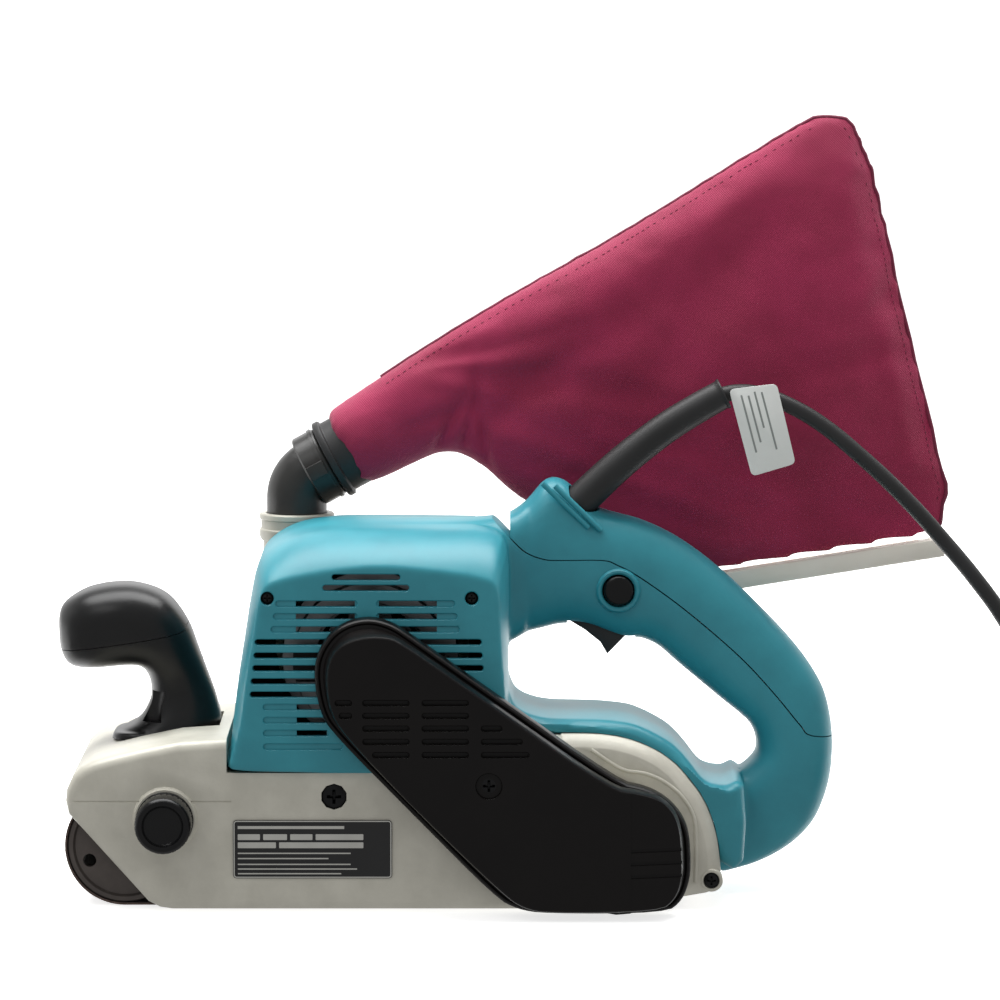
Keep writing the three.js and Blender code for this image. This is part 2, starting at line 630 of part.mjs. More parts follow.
function frontRoller() {
  const at = [FRONT_X, 0, ROLLER_Z];
  const ends = [-1, 1].map((s) => ring(6.4, 21, s > 0 ? 44 : -49.5, s > 0 ? 49.5 : -44, 'Y', at));
  const holes = [0, 1, 2].map((i) => {
    const turn = 2 * Math.PI * i / 3 + Math.PI + 0.41;
    const centre = [FRONT_X + 15.2 * Math.cos(turn), 0, ROLLER_Z + 15.2 * Math.sin(turn)];
    return rod(3, -60, 60, 'Y', centre, 10);
  });
  return cut(join(ring(20, ROLLER_R, -49.5, 49.5, 'Y', at, 32), ...ends), ...holes);
}

function carriage() {
  const arms = [-1, 1].map((s) => {
    const [y0, y1] = s > 0 ? [50.4, 53.4] : [-53.4, -50.4];
    return join(block([-111, -75], [y0, y1], [19, 35]),
      rod(8, y0, y1, 'Y', [FRONT_X, 0, ROLLER_Z], 24));
  });
  return join(block([-80, -75], [-53.4, 53.4], [15, 39]), ...arms,
    rod(6, -53, 53, 'Y', [FRONT_X, 0, ROLLER_Z], 20),
    rod(5, -76, -42, 'X', [0, 0, ROLLER_Z], 20));
}

function tensionSpring() {
  const points = [];
  for (let i = 0; i <= 40; i += 1) {
    const turn = 2 * Math.PI * 4 * i / 40;
    points.push(new THREE.Vector3(-73.2 + 11.4 * i / 40, 8 * Math.cos(turn),
      ROLLER_Z + 8 * Math.sin(turn)));
  }
  const section = new THREE.Shape();
  section.absarc(0, 0, 0.9, 0, 2 * Math.PI);
  const path = new THREE.CatmullRomCurve3(points);
  return solid(new THREE.ExtrudeGeometry(section, { steps: 40, extrudePath: path, curveSegments: 2 }));
}

function tensionLever() {
  const lug = cut(join(rod(6.4, 20, 34, 'Z', [-45, 44.5, 0], 24),
    block([-43, -38], [44.5, 53], [20, 34])), rod(3.3, 10, 50, 'Z', [-45, 44.5, 0], 16));
  const arm = along([[-43, 20], [4, 20], [12, 23], [14, 27], [12, 31], [4, 34], [-43, 34]],
    50.8, 57, 1.6, 2);
  return join(lug, arm);
}

function trackingKnob() {
  const profile = [[0, -56.6], [4, -56.6], [4, -71.3], [12.2, -71.3], [12.6, -73], [12.6, -88],
    [11.4, -90], [9.4, -90], [8.6, -88.6], [0, -88.2]];
  const knurls = [];
  for (let i = 0; i < 12; i += 1) {
    const turn = 2 * Math.PI * i / 12;
    const at = [-91.5 + 13 * Math.cos(turn), 0, 42.1 + 13 * Math.sin(turn)];
    knurls.push(rod(1, -91, -74, 'Y', at, 5));
  }
  return cut(turned(profile, 'Y', [-91.5, 0, 42.1]), ...knurls);
}

function grooved(radius, y0, y1, at, boreR, sides) {
  const profile = [[boreR, y0], [radius + 1.4, y0], [radius + 1.4, y0 + 1], [radius, y0 + 1.2]];
  const ribs = 3;
  const pitch = (y1 - y0 - 2.4) / ribs;
  for (let i = 0; i < ribs; i += 1) {
    profile.push([radius - 0.9, y0 + 1.2 + (i + 0.5) * pitch]);
    profile.push([radius, y0 + 1.2 + (i + 1) * pitch]);
  }
  profile.push([radius + 1.4, y1 - 1], [radius + 1.4, y1], [boreR, y1], [boreR, y0]);
  return turned(profile, 'Y', at, sides);
}

function driveBelt() {
  const inner = loop(MOTOR_X, MOTOR_Z, PULLEY_SMALL_R + GAP, REAR_X, ROLLER_Z,
    PULLEY_LARGE_R + GAP, 14);
  const outer = loop(MOTOR_X, MOTOR_Z, PULLEY_SMALL_R + 2.6, REAR_X, ROLLER_Z,
    PULLEY_LARGE_R + 2.6, 14);
  return along(outer, -86.4, -77.6, 0, 1, [inner]);
}

// ---- motor ----
function armature() {
  const at = [MOTOR_X, 0, MOTOR_Z];
  const core = rod(23, -34, 2, 'Y', at);
  const slots = [];
  for (let i = 0; i < 12; i += 1) {
    const turn = 2 * Math.PI * i / 12;
    slots.push(rod(1.6, -40, 10, 'Y',
      [MOTOR_X + 22.4 * Math.cos(turn), 0, MOTOR_Z + 22.4 * Math.sin(turn)], 6));
  }
  return join(rod(4, -90, 53, 'Y', at, 20), cut(core, ...slots), rod(15, -39, 6, 'Y', at, 24));
}

function commutator() {
  const at = [MOTOR_X, 0, MOTOR_Z];
  const bars = [];
  for (let i = 0; i < 16; i += 1) {
    const turn = 2 * Math.PI * i / 16;
    bars.push(rod(0.35, -60, -40, 'Y',
      [MOTOR_X + 13 * Math.cos(turn), 0, MOTOR_Z + 13 * Math.sin(turn)], 4));
  }
  return cut(ring(4.3, 13, -57, -41, 'Y', at, 32), ...bars);
}

function fieldCore() {
  const at = [MOTOR_X, 0, MOTOR_Z];
  const core = ring(24.4, 40, -34, 2, 'Y', at);
  const windings = [-1, 1].map((s) => cut(
    ring(26, 35, -40, 8, 'Y', at),
    block([-60, 60], [-60, 60], s > 0 ? [60, 120] : [100, 160]),
  ));
  return join(core, ...windings);
}

function blades(inner, outer, y0, y1, count, lean) {
  const made = [];
  for (let i = 0; i < count; i += 1) {
    const shape = new THREE.BoxGeometry(outer - inner, y1 - y0, 1.4);
    shape.translate((inner + outer) / 2, (y0 + y1) / 2, lean);
    shape.rotateY(2 * Math.PI * i / count);
    shape.translate(MOTOR_X, 0, MOTOR_Z);
    made.push(solid(shape));
  }
  return made;
}

function coolingFan() {
  const at = [MOTOR_X, 0, MOTOR_Z];
  return join(ring(4.3, 34, 9, 10.6, 'Y', at), ring(4.3, 9, 9, 17, 'Y', at),
    ...blades(14, 33.5, 10, 17, 9, 4));
}

function dustImpeller() {
  const at = [MOTOR_X, 0, MOTOR_Z];
  return join(ring(4.3, 40, 31, 33, 'Y', at), ring(4.3, 10, 31, 46, 'Y', at),
    ...blades(14, 39, 32, 50, 7, 5));
}

function brush(side) {
  const x0 = MOTOR_X + side * 13.4;
  const x1 = MOTOR_X + side * 29;
  return block([Math.min(x0, x1), Math.max(x0, x1)], [-53, -45], [MOTOR_Z - 3.5, MOTOR_Z + 3.5]);
}

function brushHolder(side) {
  const x0 = MOTOR_X + side * 16;
  const x1 = MOTOR_X + side * 34;
  const x2 = MOTOR_X + side * 10;
  const x3 = MOTOR_X + side * 30;
  return cut(block([Math.min(x0, x1), Math.max(x0, x1)], [-55.2, -42.8], [MOTOR_Z - 6, MOTOR_Z + 6]),
    block([Math.min(x2, x3), Math.max(x2, x3)], [-53.3, -44.7], [MOTOR_Z - 3.8, MOTOR_Z + 3.8]));
}

// ---- switch ----
function trigger() {
  const outline = [[89.6, 124], [92.5, 127.7], [96.2, 129.1], [104, 128], [113, 122], [115.6, 117],
    [107.2, 108.3], [104, 113.8], [97.1, 119.4]];
  const pin = along([[91, 125], [97, 125], [97, 132.4], [91, 132.4]], -6, 6);
  return join(along(outline, -7.6, 7.6, 1.2, 2), pin);
}

function switchBody() {
  return cut(block([90, 128], [-9.6, 9.6], [133, 150]),
    rod(4.8, -12, -5, 'Y', [112, 0, 138.8], 16));
}

function lockButton() {
  const profile = [[0, -10], [4, -10], [4, -13.6], [6.9, -13.6], [6.9, -19.6], [6.2, -20.4],
    [0, -20.8]];
  return turned(profile, 'Y', [112, 0, 138.8], 24);
}

// ---- dust line ----
// a profile of [radius, distance] turned about the leaning axis of the elbow's outlet
function leaning(profile, sides = 24) {
  const shape = new THREE.LatheGeometry(profile.map(([r, t]) => new THREE.Vector2(r, t)), sides);
  shape.rotateX(Math.PI / 2);
  return leaned(shape);
}

function leaned(shape) {
  shape.rotateY(Math.PI / 2 - OUTLET_LEAN);
  shape.translate(OUTLET_X, OUTLET_Y, ELBOW_Z);
  return solid(shape);
}

function dustElbow() {
  const at = [OUTLET_X, OUTLET_Y, ELBOW_Z];
  const tube = (r, a, b) => leaning([[0, a], [r, a], [r, b], [0, b]], 20);
  const ball = (r) => {
    const points = [];
    for (let i = 0; i <= 8; i += 1) {
      const turn = Math.PI * i / 8;
      points.push([r * Math.sin(turn), -r * Math.cos(turn)]);
    }
    return turned(points, 'Z', at, 20);
  };
  const outside = join(rod(13.9, 162.4, ELBOW_Z, 'Z', [OUTLET_X, OUTLET_Y, 0], 20), ball(13.9),
    tube(13.9, 0, 8), tube(16.9, 5.8, 17.4), tube(17.5, 8.2, 10.2), tube(14.6, 16, 26),
    rod(11.9, 146, 170, 'Z', [OUTLET_X, OUTLET_Y, 0], 20));
  const lugs = [-1, 1].map((s) => {
    const shape = new THREE.BoxGeometry(7, 6, 9.4);
    shape.translate(0, s * 16.2, 11.4);
    return leaned(shape);
  });
  return cut(join(outside, ...lugs), rod(9.6, 140, ELBOW_Z, 'Z', [OUTLET_X, OUTLET_Y, 0], 20),
    ball(10.6), tube(11.4, 0, 40));
}

function bagCuff() {
  return leaning([[15, 17.8], [18.4, 17.8], [19, 18.6], [19, 21], [17.4, 21.6], [17.4, 31],
    [15, 31], [15, 17.8]]);
}

function dustBag() {
  const mouth = leaning([[0, 8], [17.8, 8], [17.8, 32], [0, 32]]);
  const bead = along([[128, 133.8], [250, 153.2], [250, 170], [128, 150]], OUTLET_Y - 1.2,
    OUTLET_Y + 1.2);
  const whole = join(bar(BAG, OUTLET_Y, 16, 0.9), bead);
  return cut(whole, mouth);
}

function bagRail() {
  const outline = [[112, 124.3], [264, 148.5], [263.4, 157.3], [111.4, 133.1]];
  const cutter = along([[100, 127.3], [252.2, 151.5], [252, 175], [100, 175]], OUTLET_Y - 1.6,
    OUTLET_Y + 1.6);
  return cut(along(outline, OUTLET_Y - 6, OUTLET_Y + 6, 1.2, 2), cutter);
}

// ---- cord ----
function cordGuard() {
  const radii = GUARD_PATH.map((p, i) => 8 - 1.3 * i / (GUARD_PATH.length - 1));
  const tip = hose(GUARD_PATH.slice(-2), 7.4, CORD_Y, 12);
  const root = hose([[84.8, 168.3], [88.6, 172.1]], 8.1, CORD_Y, 12);
  return cut(join(hose(GUARD_PATH, radii, CORD_Y, 12), tip, root), cordSolid(CORD_R + 0.35));
}

function cordSolid(radius) {
  const points = [
    [86.4, CORD_Y, 169.8], [94.4, CORD_Y, 178], [103, CORD_Y, 186.4], [113, CORD_Y, 195.6],
    [124, CORD_Y, 204.6], [136, CORD_Y, 213.4], [148, CORD_Y, 220.8], [157.5, CORD_Y, 226.2],
    [168, CORD_Y, 228.2], [179, CORD_Y, 226.4], [190.1, CORD_Y, 222], [203.8, CORD_Y, 214],
    [222.1, CORD_Y, 199.2], [241.5, CORD_Y, 181], [261, CORD_Y, 159.6], [275.7, CORD_Y, 142],
    [288.6, CORD_Y, 124], [299.5, CORD_Y, 103], [308, CORD_Y, 76], [314, CORD_Y - 1, 50],
    [318.8, CORD_Y - 1, 28.3], [322.1, CORD_Y - 1, 20.3], [327.3, CORD_Y - 0.6, 13.5],
    [334, CORD_Y, 8.3], [342, CORD_Y + 0.6, 5.1],
    [COIL_AT[0], COIL_AT[1] + COIL_MID_R + COIL_HALF + 4.2, 4.1],
  ].map((p) => new THREE.Vector3(...p));
  const path = new THREE.CatmullRomCurve3(points, false, 'centripetal');
  const section = new THREE.Shape();
  section.absarc(0, 0, radius, 0, 2 * Math.PI);
  return solid(new THREE.ExtrudeGeometry(section, {
    steps: 44, extrudePath: path, curveSegments: 4,
  }));
}

function cordCoil() {
  const points = [];
  for (let i = 0; i < 12; i += 1) {
    const turn = 2 * Math.PI * i / 12;
    const c = Math.sign(Math.cos(turn)) * Math.abs(Math.cos(turn)) ** 0.8;
    const s = Math.sign(Math.sin(turn)) * Math.abs(Math.sin(turn)) ** 0.8;
    points.push([COIL_MID_R + COIL_HALF * c, COIL_HALF + COIL_HALF * s]);
  }
  const bundle = turned([...points, points[0]], 'Z', [COIL_AT[0], COIL_AT[1], 0], 26);
  const x = COIL_AT[0] - COIL_MID_R;
  return bundle.subtract(block([x - 30, x + 20], [COIL_AT[1] - 5.3, COIL_AT[1] + 5.3], [-1, 1.9]));
}

function coilTie() {
  const x = COIL_AT[0] - COIL_MID_R;
  const half = COIL_HALF + 0.8;
  const outer = half + 1.6;
  const top = 2 * COIL_HALF + 0.5;
  const hole = [[x - half, 1.5], [x + half, 1.5], [x + half, top], [x - half, top]];
  const outline = [[x - outer, 0.1], [x + outer, 0.1], [x + outer, top + 1.5],
    [x - outer, top + 1.5]];
  return along(outline, COIL_AT[1] - 5, COIL_AT[1] + 5, 0, 1, [hole]);
}

function plug() {
  const y = COIL_AT[1] + COIL_MID_R + COIL_HALF;
  const body = skin([
    [24, 4.4, 4.4, 15], [31, 5, 5, 13.4], [39, 6, 6, 11.4], [47, 10, 8, 9.6], [58, 12.6, 9, 9.2],
    [70, 12.6, 9, 9.2],
  ].map(([x, wide, high, z]) => {
    const points = [];
    for (let i = 0; i < 16; i += 1) {
      const turn = 2 * Math.PI * (i + 0.5) / 16;
      const c = Math.sign(Math.cos(turn)) * Math.abs(Math.cos(turn)) ** 0.7;
      const s = Math.sign(Math.sin(turn)) * Math.abs(Math.sin(turn)) ** 0.7;
      points.push([COIL_AT[0] + x, y + c * wide, z + s * high]);
    }
    return points;
  }));
  const pins = [-1, 1].map((s) => block([COIL_AT[0] + 66, COIL_AT[0] + 87],
    [y + s * 6.35 - 0.75, y + s * 6.35 + 0.75], [6, 12.4]));
  return join(body, ...pins);
}

function cordTag() {
  const outline = [[162.1, 229.8], [183.8, 232.5], [192.6, 196], [172.7, 190.1]];
  return along(outline, CORD_Y - 4.9, CORD_Y - 4.2);
}

// ---- assembly ----
const COLOURS = {
  casting: ['#b9b9b2', 0.45, 0.7],
  teal: ['#2f8595', 0.45, 0],
  black: ['#1b1b1c', 0.5, 0],
  dark: ['#2a2a2b', 0.6, 0],
  steel: ['#8d9094', 0.35, 1],
  copper: ['#b06a3a', 0.4, 1],
  rubber: ['#232323', 0.85, 0],
  grit: ['#5b4a44', 0.95, 0],
  cloth: ['#8d1f43', 0.95, 0],
  cream: ['#e9e2cf', 0.6, 0],
  tag: ['#d9ddd8', 0.5, 0],
  cork: ['#8a6a45', 0.9, 0],
  graphite: ['#3a3b3d', 0.5, 0.2],
};
const model = new THREE.Group();

function add(name, manifold, colour) {
  const mesh = manifold.getMesh();
  const shape = new THREE.BufferGeometry();
  shape.setAttribute('position', new THREE.BufferAttribute(new Float32Array(mesh.vertProperties), 3));
  shape.setIndex(new THREE.BufferAttribute(new Uint32Array(mesh.triVerts), 1));
  shape.computeVertexNormals();
  const [tint, roughness, metalness] = COLOURS[colour];
  const item = new THREE.Mesh(shape, new THREE.MeshStandardMaterial({
    color: tint, roughness, metalness,
  }));
  item.name = name;
  model.add(item);
}

const AXLE = [REAR_X, 0, ROLLER_Z];
const SHAFT = [MOTOR_X, 0, MOTOR_Z];
add('main_frame', mainFrame(), 'casting');
add('rear_guard', rearGuard(), 'casting');
add('motor_housing', motorHousing(), 'teal');
add('handle_cover', handleCover(), 'teal');
add('belt_cover', beltCover(), 'black');
add('fan_housing', fanHousing(), 'casting');
add('fan_cover', fanCover(), 'casting');
add('nameplate', block([-61.2, 9.9], [FRAME_Y - 0.9, FRAME_Y - GAP], [15.5, 41.8]), 'black');
add('platen', platen(), 'steel');
add('cork_pad', block([-80, 84], [-49, 49], [2.7, 5.4]), 'cork');
add('graphite_sheet', graphiteSheet(), 'graphite');
add('front_grip_body', gripBody(), 'black');
add('front_grip_cap', gripCap(), 'black');
add('sanding_belt', sandingBelt(), 'grit');
add('rear_roller', rearRoller(), 'steel');
add('rear_roller_sleeve', ring(23.1, ROLLER_R, -49, 49, 'Y', AXLE, 32), 'rubber');
add('rear_bearing', ring(5.3, 13, -71.6, -64, 'Y', AXLE), 'steel');
add('large_pulley', grooved(PULLEY_LARGE_R, -88, -76, AXLE, 5.3, 32), 'steel');
add('small_pulley', grooved(PULLEY_SMALL_R, -88, -76, SHAFT, 4.3, 16), 'steel');
add('drive_belt', driveBelt(), 'rubber');
add('front_roller', frontRoller(), 'steel');
add('front_carriage', carriage(), 'steel');
add('tension_spring', tensionSpring(), 'steel');
add('tension_lever', tensionLever(), 'steel');
add('tracking_knob', trackingKnob(), 'black');
add('armature', armature(), 'steel');
add('commutator', commutator(), 'copper');
add('field_core', fieldCore(), 'steel');
add('cooling_fan', coolingFan(), 'dark');
add('dust_impeller', dustImpeller(), 'dark');
add('motor_bearing_near', ring(4.3, 9, -68.4, -61, 'Y', SHAFT, 26), 'steel');
add('motor_bearing_far', ring(4.3, 9, 21, 28, 'Y', SHAFT, 26), 'steel');
add('carbon_brush_front', brush(-1), 'graphite');
add('carbon_brush_rear', brush(1), 'graphite');
add('brush_holder_front', brushHolder(-1), 'dark');
add('brush_holder_rear', brushHolder(1), 'dark');
add('switch_body', switchBody(), 'dark');
add('trigger', trigger(), 'dark');
add('lock_button', lockButton(), 'black');
add('dust_elbow', dustElbow(), 'black');
add('bag_cuff', bagCuff(), 'dark');
add('dust_bag', dustBag(), 'cloth');
add('bag_rail', bagRail(), 'cream');
add('cord_guard', cordGuard(), 'rubber');
add('cord', cordSolid(CORD_R), 'rubber');
add('cord_coil', cordCoil(), 'rubber');
add('coil_tie', coilTie(), 'black');
add('plug', plug(), 'rubber');
add('cord_tag', cordTag(), 'tag');
for (const [name, numbers] of Object.entries(SCREWS)) {
  add(name, screw(...numbers), 'dark');
}

export default model;
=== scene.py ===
# Visual model of a handheld belt sander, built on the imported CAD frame. Metres, +Z up.
import math

import bmesh
import bpy
import numpy as np
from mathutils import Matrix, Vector, noise


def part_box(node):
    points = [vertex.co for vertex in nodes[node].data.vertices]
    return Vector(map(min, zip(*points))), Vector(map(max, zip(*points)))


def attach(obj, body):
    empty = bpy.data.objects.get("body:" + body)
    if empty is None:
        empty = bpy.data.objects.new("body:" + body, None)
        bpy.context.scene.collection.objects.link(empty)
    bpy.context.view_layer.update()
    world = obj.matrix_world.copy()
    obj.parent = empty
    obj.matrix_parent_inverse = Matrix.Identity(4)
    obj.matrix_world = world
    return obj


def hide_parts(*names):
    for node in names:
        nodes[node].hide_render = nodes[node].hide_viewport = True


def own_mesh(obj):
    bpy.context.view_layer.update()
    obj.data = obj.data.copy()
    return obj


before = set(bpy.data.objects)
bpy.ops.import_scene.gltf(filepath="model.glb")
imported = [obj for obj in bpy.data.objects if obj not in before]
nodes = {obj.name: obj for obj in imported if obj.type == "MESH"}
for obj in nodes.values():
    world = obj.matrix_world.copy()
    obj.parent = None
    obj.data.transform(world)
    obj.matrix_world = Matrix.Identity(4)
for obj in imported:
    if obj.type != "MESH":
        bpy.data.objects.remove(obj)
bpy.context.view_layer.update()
MM = 0.001

# ---- sizes that repeat the CAD source, in millimetres ----
CORD_D = 7.4
CORD_Y = -5.0
COIL_AT = (353.0, -66.0)
COIL_MID_R = 43.0
COIL_HALF = 15.0
OUTLET = (-35.9, 38.0, 184.2)
OUTLET_LEAN = math.radians(28.6)
OUTLET_AT = Vector(OUTLET)
OUTLET_RUN = Vector((math.cos(OUTLET_LEAN), 0, math.sin(OUTLET_LEAN)))
FACE_Y = -72.0
COVER_Y = -95.0
MOTOR = (-0.5, 110.0)
REAR_AXLE = (110.9, 27.0)
FRONT_AXLE = (-110.9, 27.0)


# ---- small helpers ----
def srgb(code):
    """A #rrggbb colour as linear RGBA."""
    parts = [int(code[i:i + 2], 16) / 255 for i in (1, 3, 5)]
    linear = [c / 12.92 if c <= 0.04045 else ((c + 0.055) / 1.055) ** 2.4 for c in parts]
    return (*linear, 1.0)


def link(obj):
    bpy.context.scene.collection.objects.link(obj)
    return obj


def mesh_object(name, verts, faces):
    mesh = bpy.data.meshes.new(name)
    mesh.from_pydata([tuple(v) for v in verts], [], faces)
    mesh.validate()
    return link(bpy.data.objects.new(name, mesh))


def tidy(obj, sharp=40.0):
    """Faces point outwards and shade smoothly, except across edges sharper than the angle."""
    work = bmesh.new()
    work.from_mesh(obj.data)
    bmesh.ops.remove_doubles(work, verts=work.verts, dist=2e-6)
    bmesh.ops.recalc_face_normals(work, faces=work.faces)
    work.to_mesh(obj.data)
    work.free()
    obj.data.shade_smooth()
    obj.data.set_sharp_from_angle(angle=math.radians(sharp))
    return obj


def settle(obj):
    """Applies every modifier."""
    bpy.context.view_layer.update()
    deps = bpy.context.evaluated_depsgraph_get()
    mesh = bpy.data.meshes.new_from_object(obj.evaluated_get(deps))
    obj.modifiers.clear()
    obj.data = mesh
    return obj


def quads(rows, count, wrap_rows=False, wrap=True):
    """The faces between neighbouring points of a grid, closed round each row and down its rows."""
    faces = []
    for i in range(rows if wrap_rows else rows - 1):
        for j in range(count if wrap else count - 1):
            a, b, k = i * count, (i + 1) % rows * count, (j + 1) % count
            faces.append((a + j, a + k, b + k, b + j))
    return faces


def node_box(name):
    """The low and high corner of a CAD node, in millimetres."""
    return [Vector(corner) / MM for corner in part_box(name)]


def paint(obj, mat):
    obj.data.materials.clear()
    obj.data.materials.append(mat)
    return obj


# ---- materials ----
def add_node(tree, kind, **inputs):
    made = tree.nodes.new(kind)
    for key, value in inputs.items():
        made.inputs[key.replace("_", " ")].default_value = value
    return made


def finish(name, low, high, rough, metal=0.0, mottle=35.0, grain=900.0, bump=0.12, depth=0.0002,
           uneven=0.07, coat=0.0, sheen=0.0, shine=0.5, stretch=(1, 1, 1)):
    """A surface whose colour drifts between two tones, with uneven gloss and a fine grain."""
    mat = bpy.data.materials.new(name)
    mat.use_nodes = True
    tree = mat.node_tree
    shader = tree.nodes["Principled BSDF"]
    shader.inputs["Metallic"].default_value = metal
    shader.inputs["Coat Weight"].default_value = coat
    shader.inputs["Sheen Weight"].default_value = sheen
    shader.inputs["Specular IOR Level"].default_value = shine
    place = tree.nodes.new("ShaderNodeTexCoord")
    spread = tree.nodes.new("ShaderNodeMapping")
    spread.inputs["Scale"].default_value = stretch
    tree.links.new(place.outputs["Object"], spread.inputs["Vector"])
    broad = add_node(tree, "ShaderNodeTexNoise", Scale=mottle, Detail=5.0, Roughness=0.6)
    fine = add_node(tree, "ShaderNodeTexNoise", Scale=grain, Detail=3.0, Roughness=0.6)
    for texture in (broad, fine):
        tree.links.new(spread.outputs["Vector"], texture.inputs["Vector"])
    ramp = tree.nodes.new("ShaderNodeValToRGB")
    ramp.color_ramp.elements[0].position = 0.36
    ramp.color_ramp.elements[1].position = 0.66
    ramp.color_ramp.elements[0].color = srgb(low)
    ramp.color_ramp.elements[1].color = srgb(high)
    tree.links.new(broad.outputs["Fac"], ramp.inputs["Fac"])
    tree.links.new(ramp.outputs["Color"], shader.inputs["Base Color"])
    gloss = add_node(tree, "ShaderNodeMapRange")
    gloss.inputs["To Min"].default_value = rough - uneven
    gloss.inputs["To Max"].default_value = rough + uneven
    tree.links.new(broad.outputs["Fac"], gloss.inputs["Value"])
    tree.links.new(gloss.outputs["Result"], shader.inputs["Roughness"])
    relief = add_node(tree, "ShaderNodeBump", Strength=bump, Distance=depth)
    tree.links.new(fine.outputs["Fac"], relief.inputs["Height"])
    tree.links.new(relief.outputs["Normal"], shader.inputs["Normal"])
    return mat


TEAL = finish("teal_plastic", "#2e8c9b", "#3497a6", 0.42, grain=1400, bump=0.22, depth=0.00012)
CASTING = finish("painted_casting", "#c6c3b6", "#d2cfc2", 0.42, metal=0.1, grain=700, bump=0.25,
                 depth=0.0002, mottle=60)
BLACK = finish("black_plastic", "#0c0c0d", "#121213", 0.36, grain=1300, bump=0.2, depth=0.0001,
               shine=0.3)
GRIP_BLACK = finish("grip_plastic", "#0b0b0c", "#101011", 0.33, grain=1500, bump=0.16, depth=0.0001,
                    shine=0.35)
DARK = finish("dark_plastic", "#1b1b1c", "#242425", 0.55, grain=1200, bump=0.25)
STEEL = finish("turned_steel", "#85878a", "#9a9c9f", 0.3, metal=1.0, grain=500, bump=0.12,
               stretch=(1, 0.15, 1))
SCREW = finish("black_oxide", "#141415", "#202021", 0.38, metal=0.7, grain=900, bump=0.1)
COPPER = finish("copper", "#a5613a", "#bd7347", 0.32, metal=1.0, stretch=(1, 0.2, 1))
RUBBER = finish("cord_rubber", "#171717", "#212122", 0.5, grain=1100, bump=0.2)
SLEEVE = finish("roller_rubber", "#1f1f20", "#2b2b2c", 0.8, grain=600, bump=0.5)
GRIT = finish("abrasive", "#4a3c37", "#6d5b53", 0.92, grain=2400, bump=0.9, depth=0.0006,
              mottle=300)
CREAM = finish("cream_plastic", "#efeadd", "#f6f2e7", 0.48, grain=900, bump=0.1)
TAG = finish("tag_film", "#e9eeea", "#f3f6f3", 0.35, grain=500, bump=0.05)
CORK = finish("cork", "#6d4c2c", "#a57f52", 0.85, mottle=420, grain=900, bump=0.6, depth=0.0004)
GRAPHITE = finish("graphite_cloth", "#1d1e20", "#2c2d30", 0.55, metal=0.2, grain=1500, bump=0.4)

COVER_BLACK = finish("cover_plastic", "#0b0808", "#0f0c0b", 0.34, grain=1100, bump=0.2,
                     depth=0.0001, shine=0.2)
BLACK_GLOSS = finish("button_plastic", "#0b0b0c", "#101011", 0.26, grain=900, bump=0.05, shine=0.25)
ELBOW_BLACK = finish("elbow_plastic", "#222120", "#2b2a28", 0.36, grain=900, bump=0.14)
ROLLER = finish("worn_roller", "#4a4441", "#5d5652", 0.5, metal=0.5, grain=700, bump=0.25)
BACKING = finish("belt_backing", "#3c3433", "#4b4240", 0.8, grain=1500, bump=0.5)
TAG_GREY = finish("tag_print", "#8b918f", "#959b98", 0.5)
PLATE_BLACK = finish("plate_black", "#0c0c0d", "#121213", 0.3, grain=600, bump=0.03)
PLATE_PALE = finish("plate_pale", "#b9b8b2", "#c6c5bf", 0.4, metal=0.3, grain=600, bump=0.03)


THREAD = 0.0011


def math_node(tree, operation, *values):
    """A math node's result, from sockets or numbers."""
    made = tree.nodes.new("ShaderNodeMath")
    made.operation = operation
    for socket, value in zip(made.inputs, values):
        if isinstance(value, float):
            socket.default_value = value
        else:
            tree.links.new(value, socket)
    return made.outputs[0]


def woven(name, low, high, rough=0.78):
    """Plain-woven cloth: crossing threads, a slightly mottled dye and a soft sheen."""
    mat = finish(name, low, high, rough, mottle=26, grain=1500, bump=0.25, depth=0.00025,
                 sheen=0.15, uneven=0.05)
    tree = mat.node_tree
    shader = tree.nodes["Principled BSDF"]
    place = next(n for n in tree.nodes if n.type == "TEX_COORD")
    split = tree.nodes.new("ShaderNodeSeparateXYZ")
    tree.links.new(place.outputs["Object"], split.inputs["Vector"])
    waves = [math_node(tree, "SINE", math_node(tree, "MULTIPLY", split.outputs[axis],
                                               2 * math.pi / THREAD)) for axis in ("X", "Z")]
    weave = math_node(tree, "MULTIPLY", *waves)
    relief = add_node(tree, "ShaderNodeBump", Strength=0.35, Distance=0.00022)
    grain = next(n for n in tree.nodes if n.type == "BUMP")
    tree.links.new(weave, relief.inputs["Height"])
    tree.links.new(grain.outputs["Normal"], relief.inputs["Normal"])
    tree.links.new(relief.outputs["Normal"], shader.inputs["Normal"])
    return mat


CLOTH = woven("bag_cloth", "#9a1c47", "#aa2453")
CLOTH_DARK = woven("bag_thread", "#74193a", "#841f43", 0.7)

# the CAD nodes of each finish; the rest are screws
NODE_FINISH = (
    (CASTING, "main_frame rear_guard fan_housing fan_cover"),
    (TEAL, "motor_housing handle_cover"),
    (BLACK, "belt_cover nameplate tracking_knob lock_button dust_elbow"),
    (GRIP_BLACK, "front_grip_body front_grip_cap"),
    (STEEL, "platen rear_roller rear_bearing large_pulley small_pulley front_roller armature"),
    (STEEL, "front_carriage tension_spring tension_lever field_core"),
    (STEEL, "motor_bearing_near motor_bearing_far"),
    (DARK, "cooling_fan dust_impeller brush_holder_front brush_holder_rear switch_body trigger"),
    (DARK, "bag_cuff coil_tie"), (SLEEVE, "rear_roller_sleeve drive_belt"),
    (GRAPHITE, "graphite_sheet carbon_brush_front carbon_brush_rear"),
    (RUBBER, "cord_guard plug"), (CORK, "cork_pad"), (GRIT, "sanding_belt"),
    (COPPER, "commutator"), (CREAM, "bag_rail"), (TAG, "cord_tag"),
)
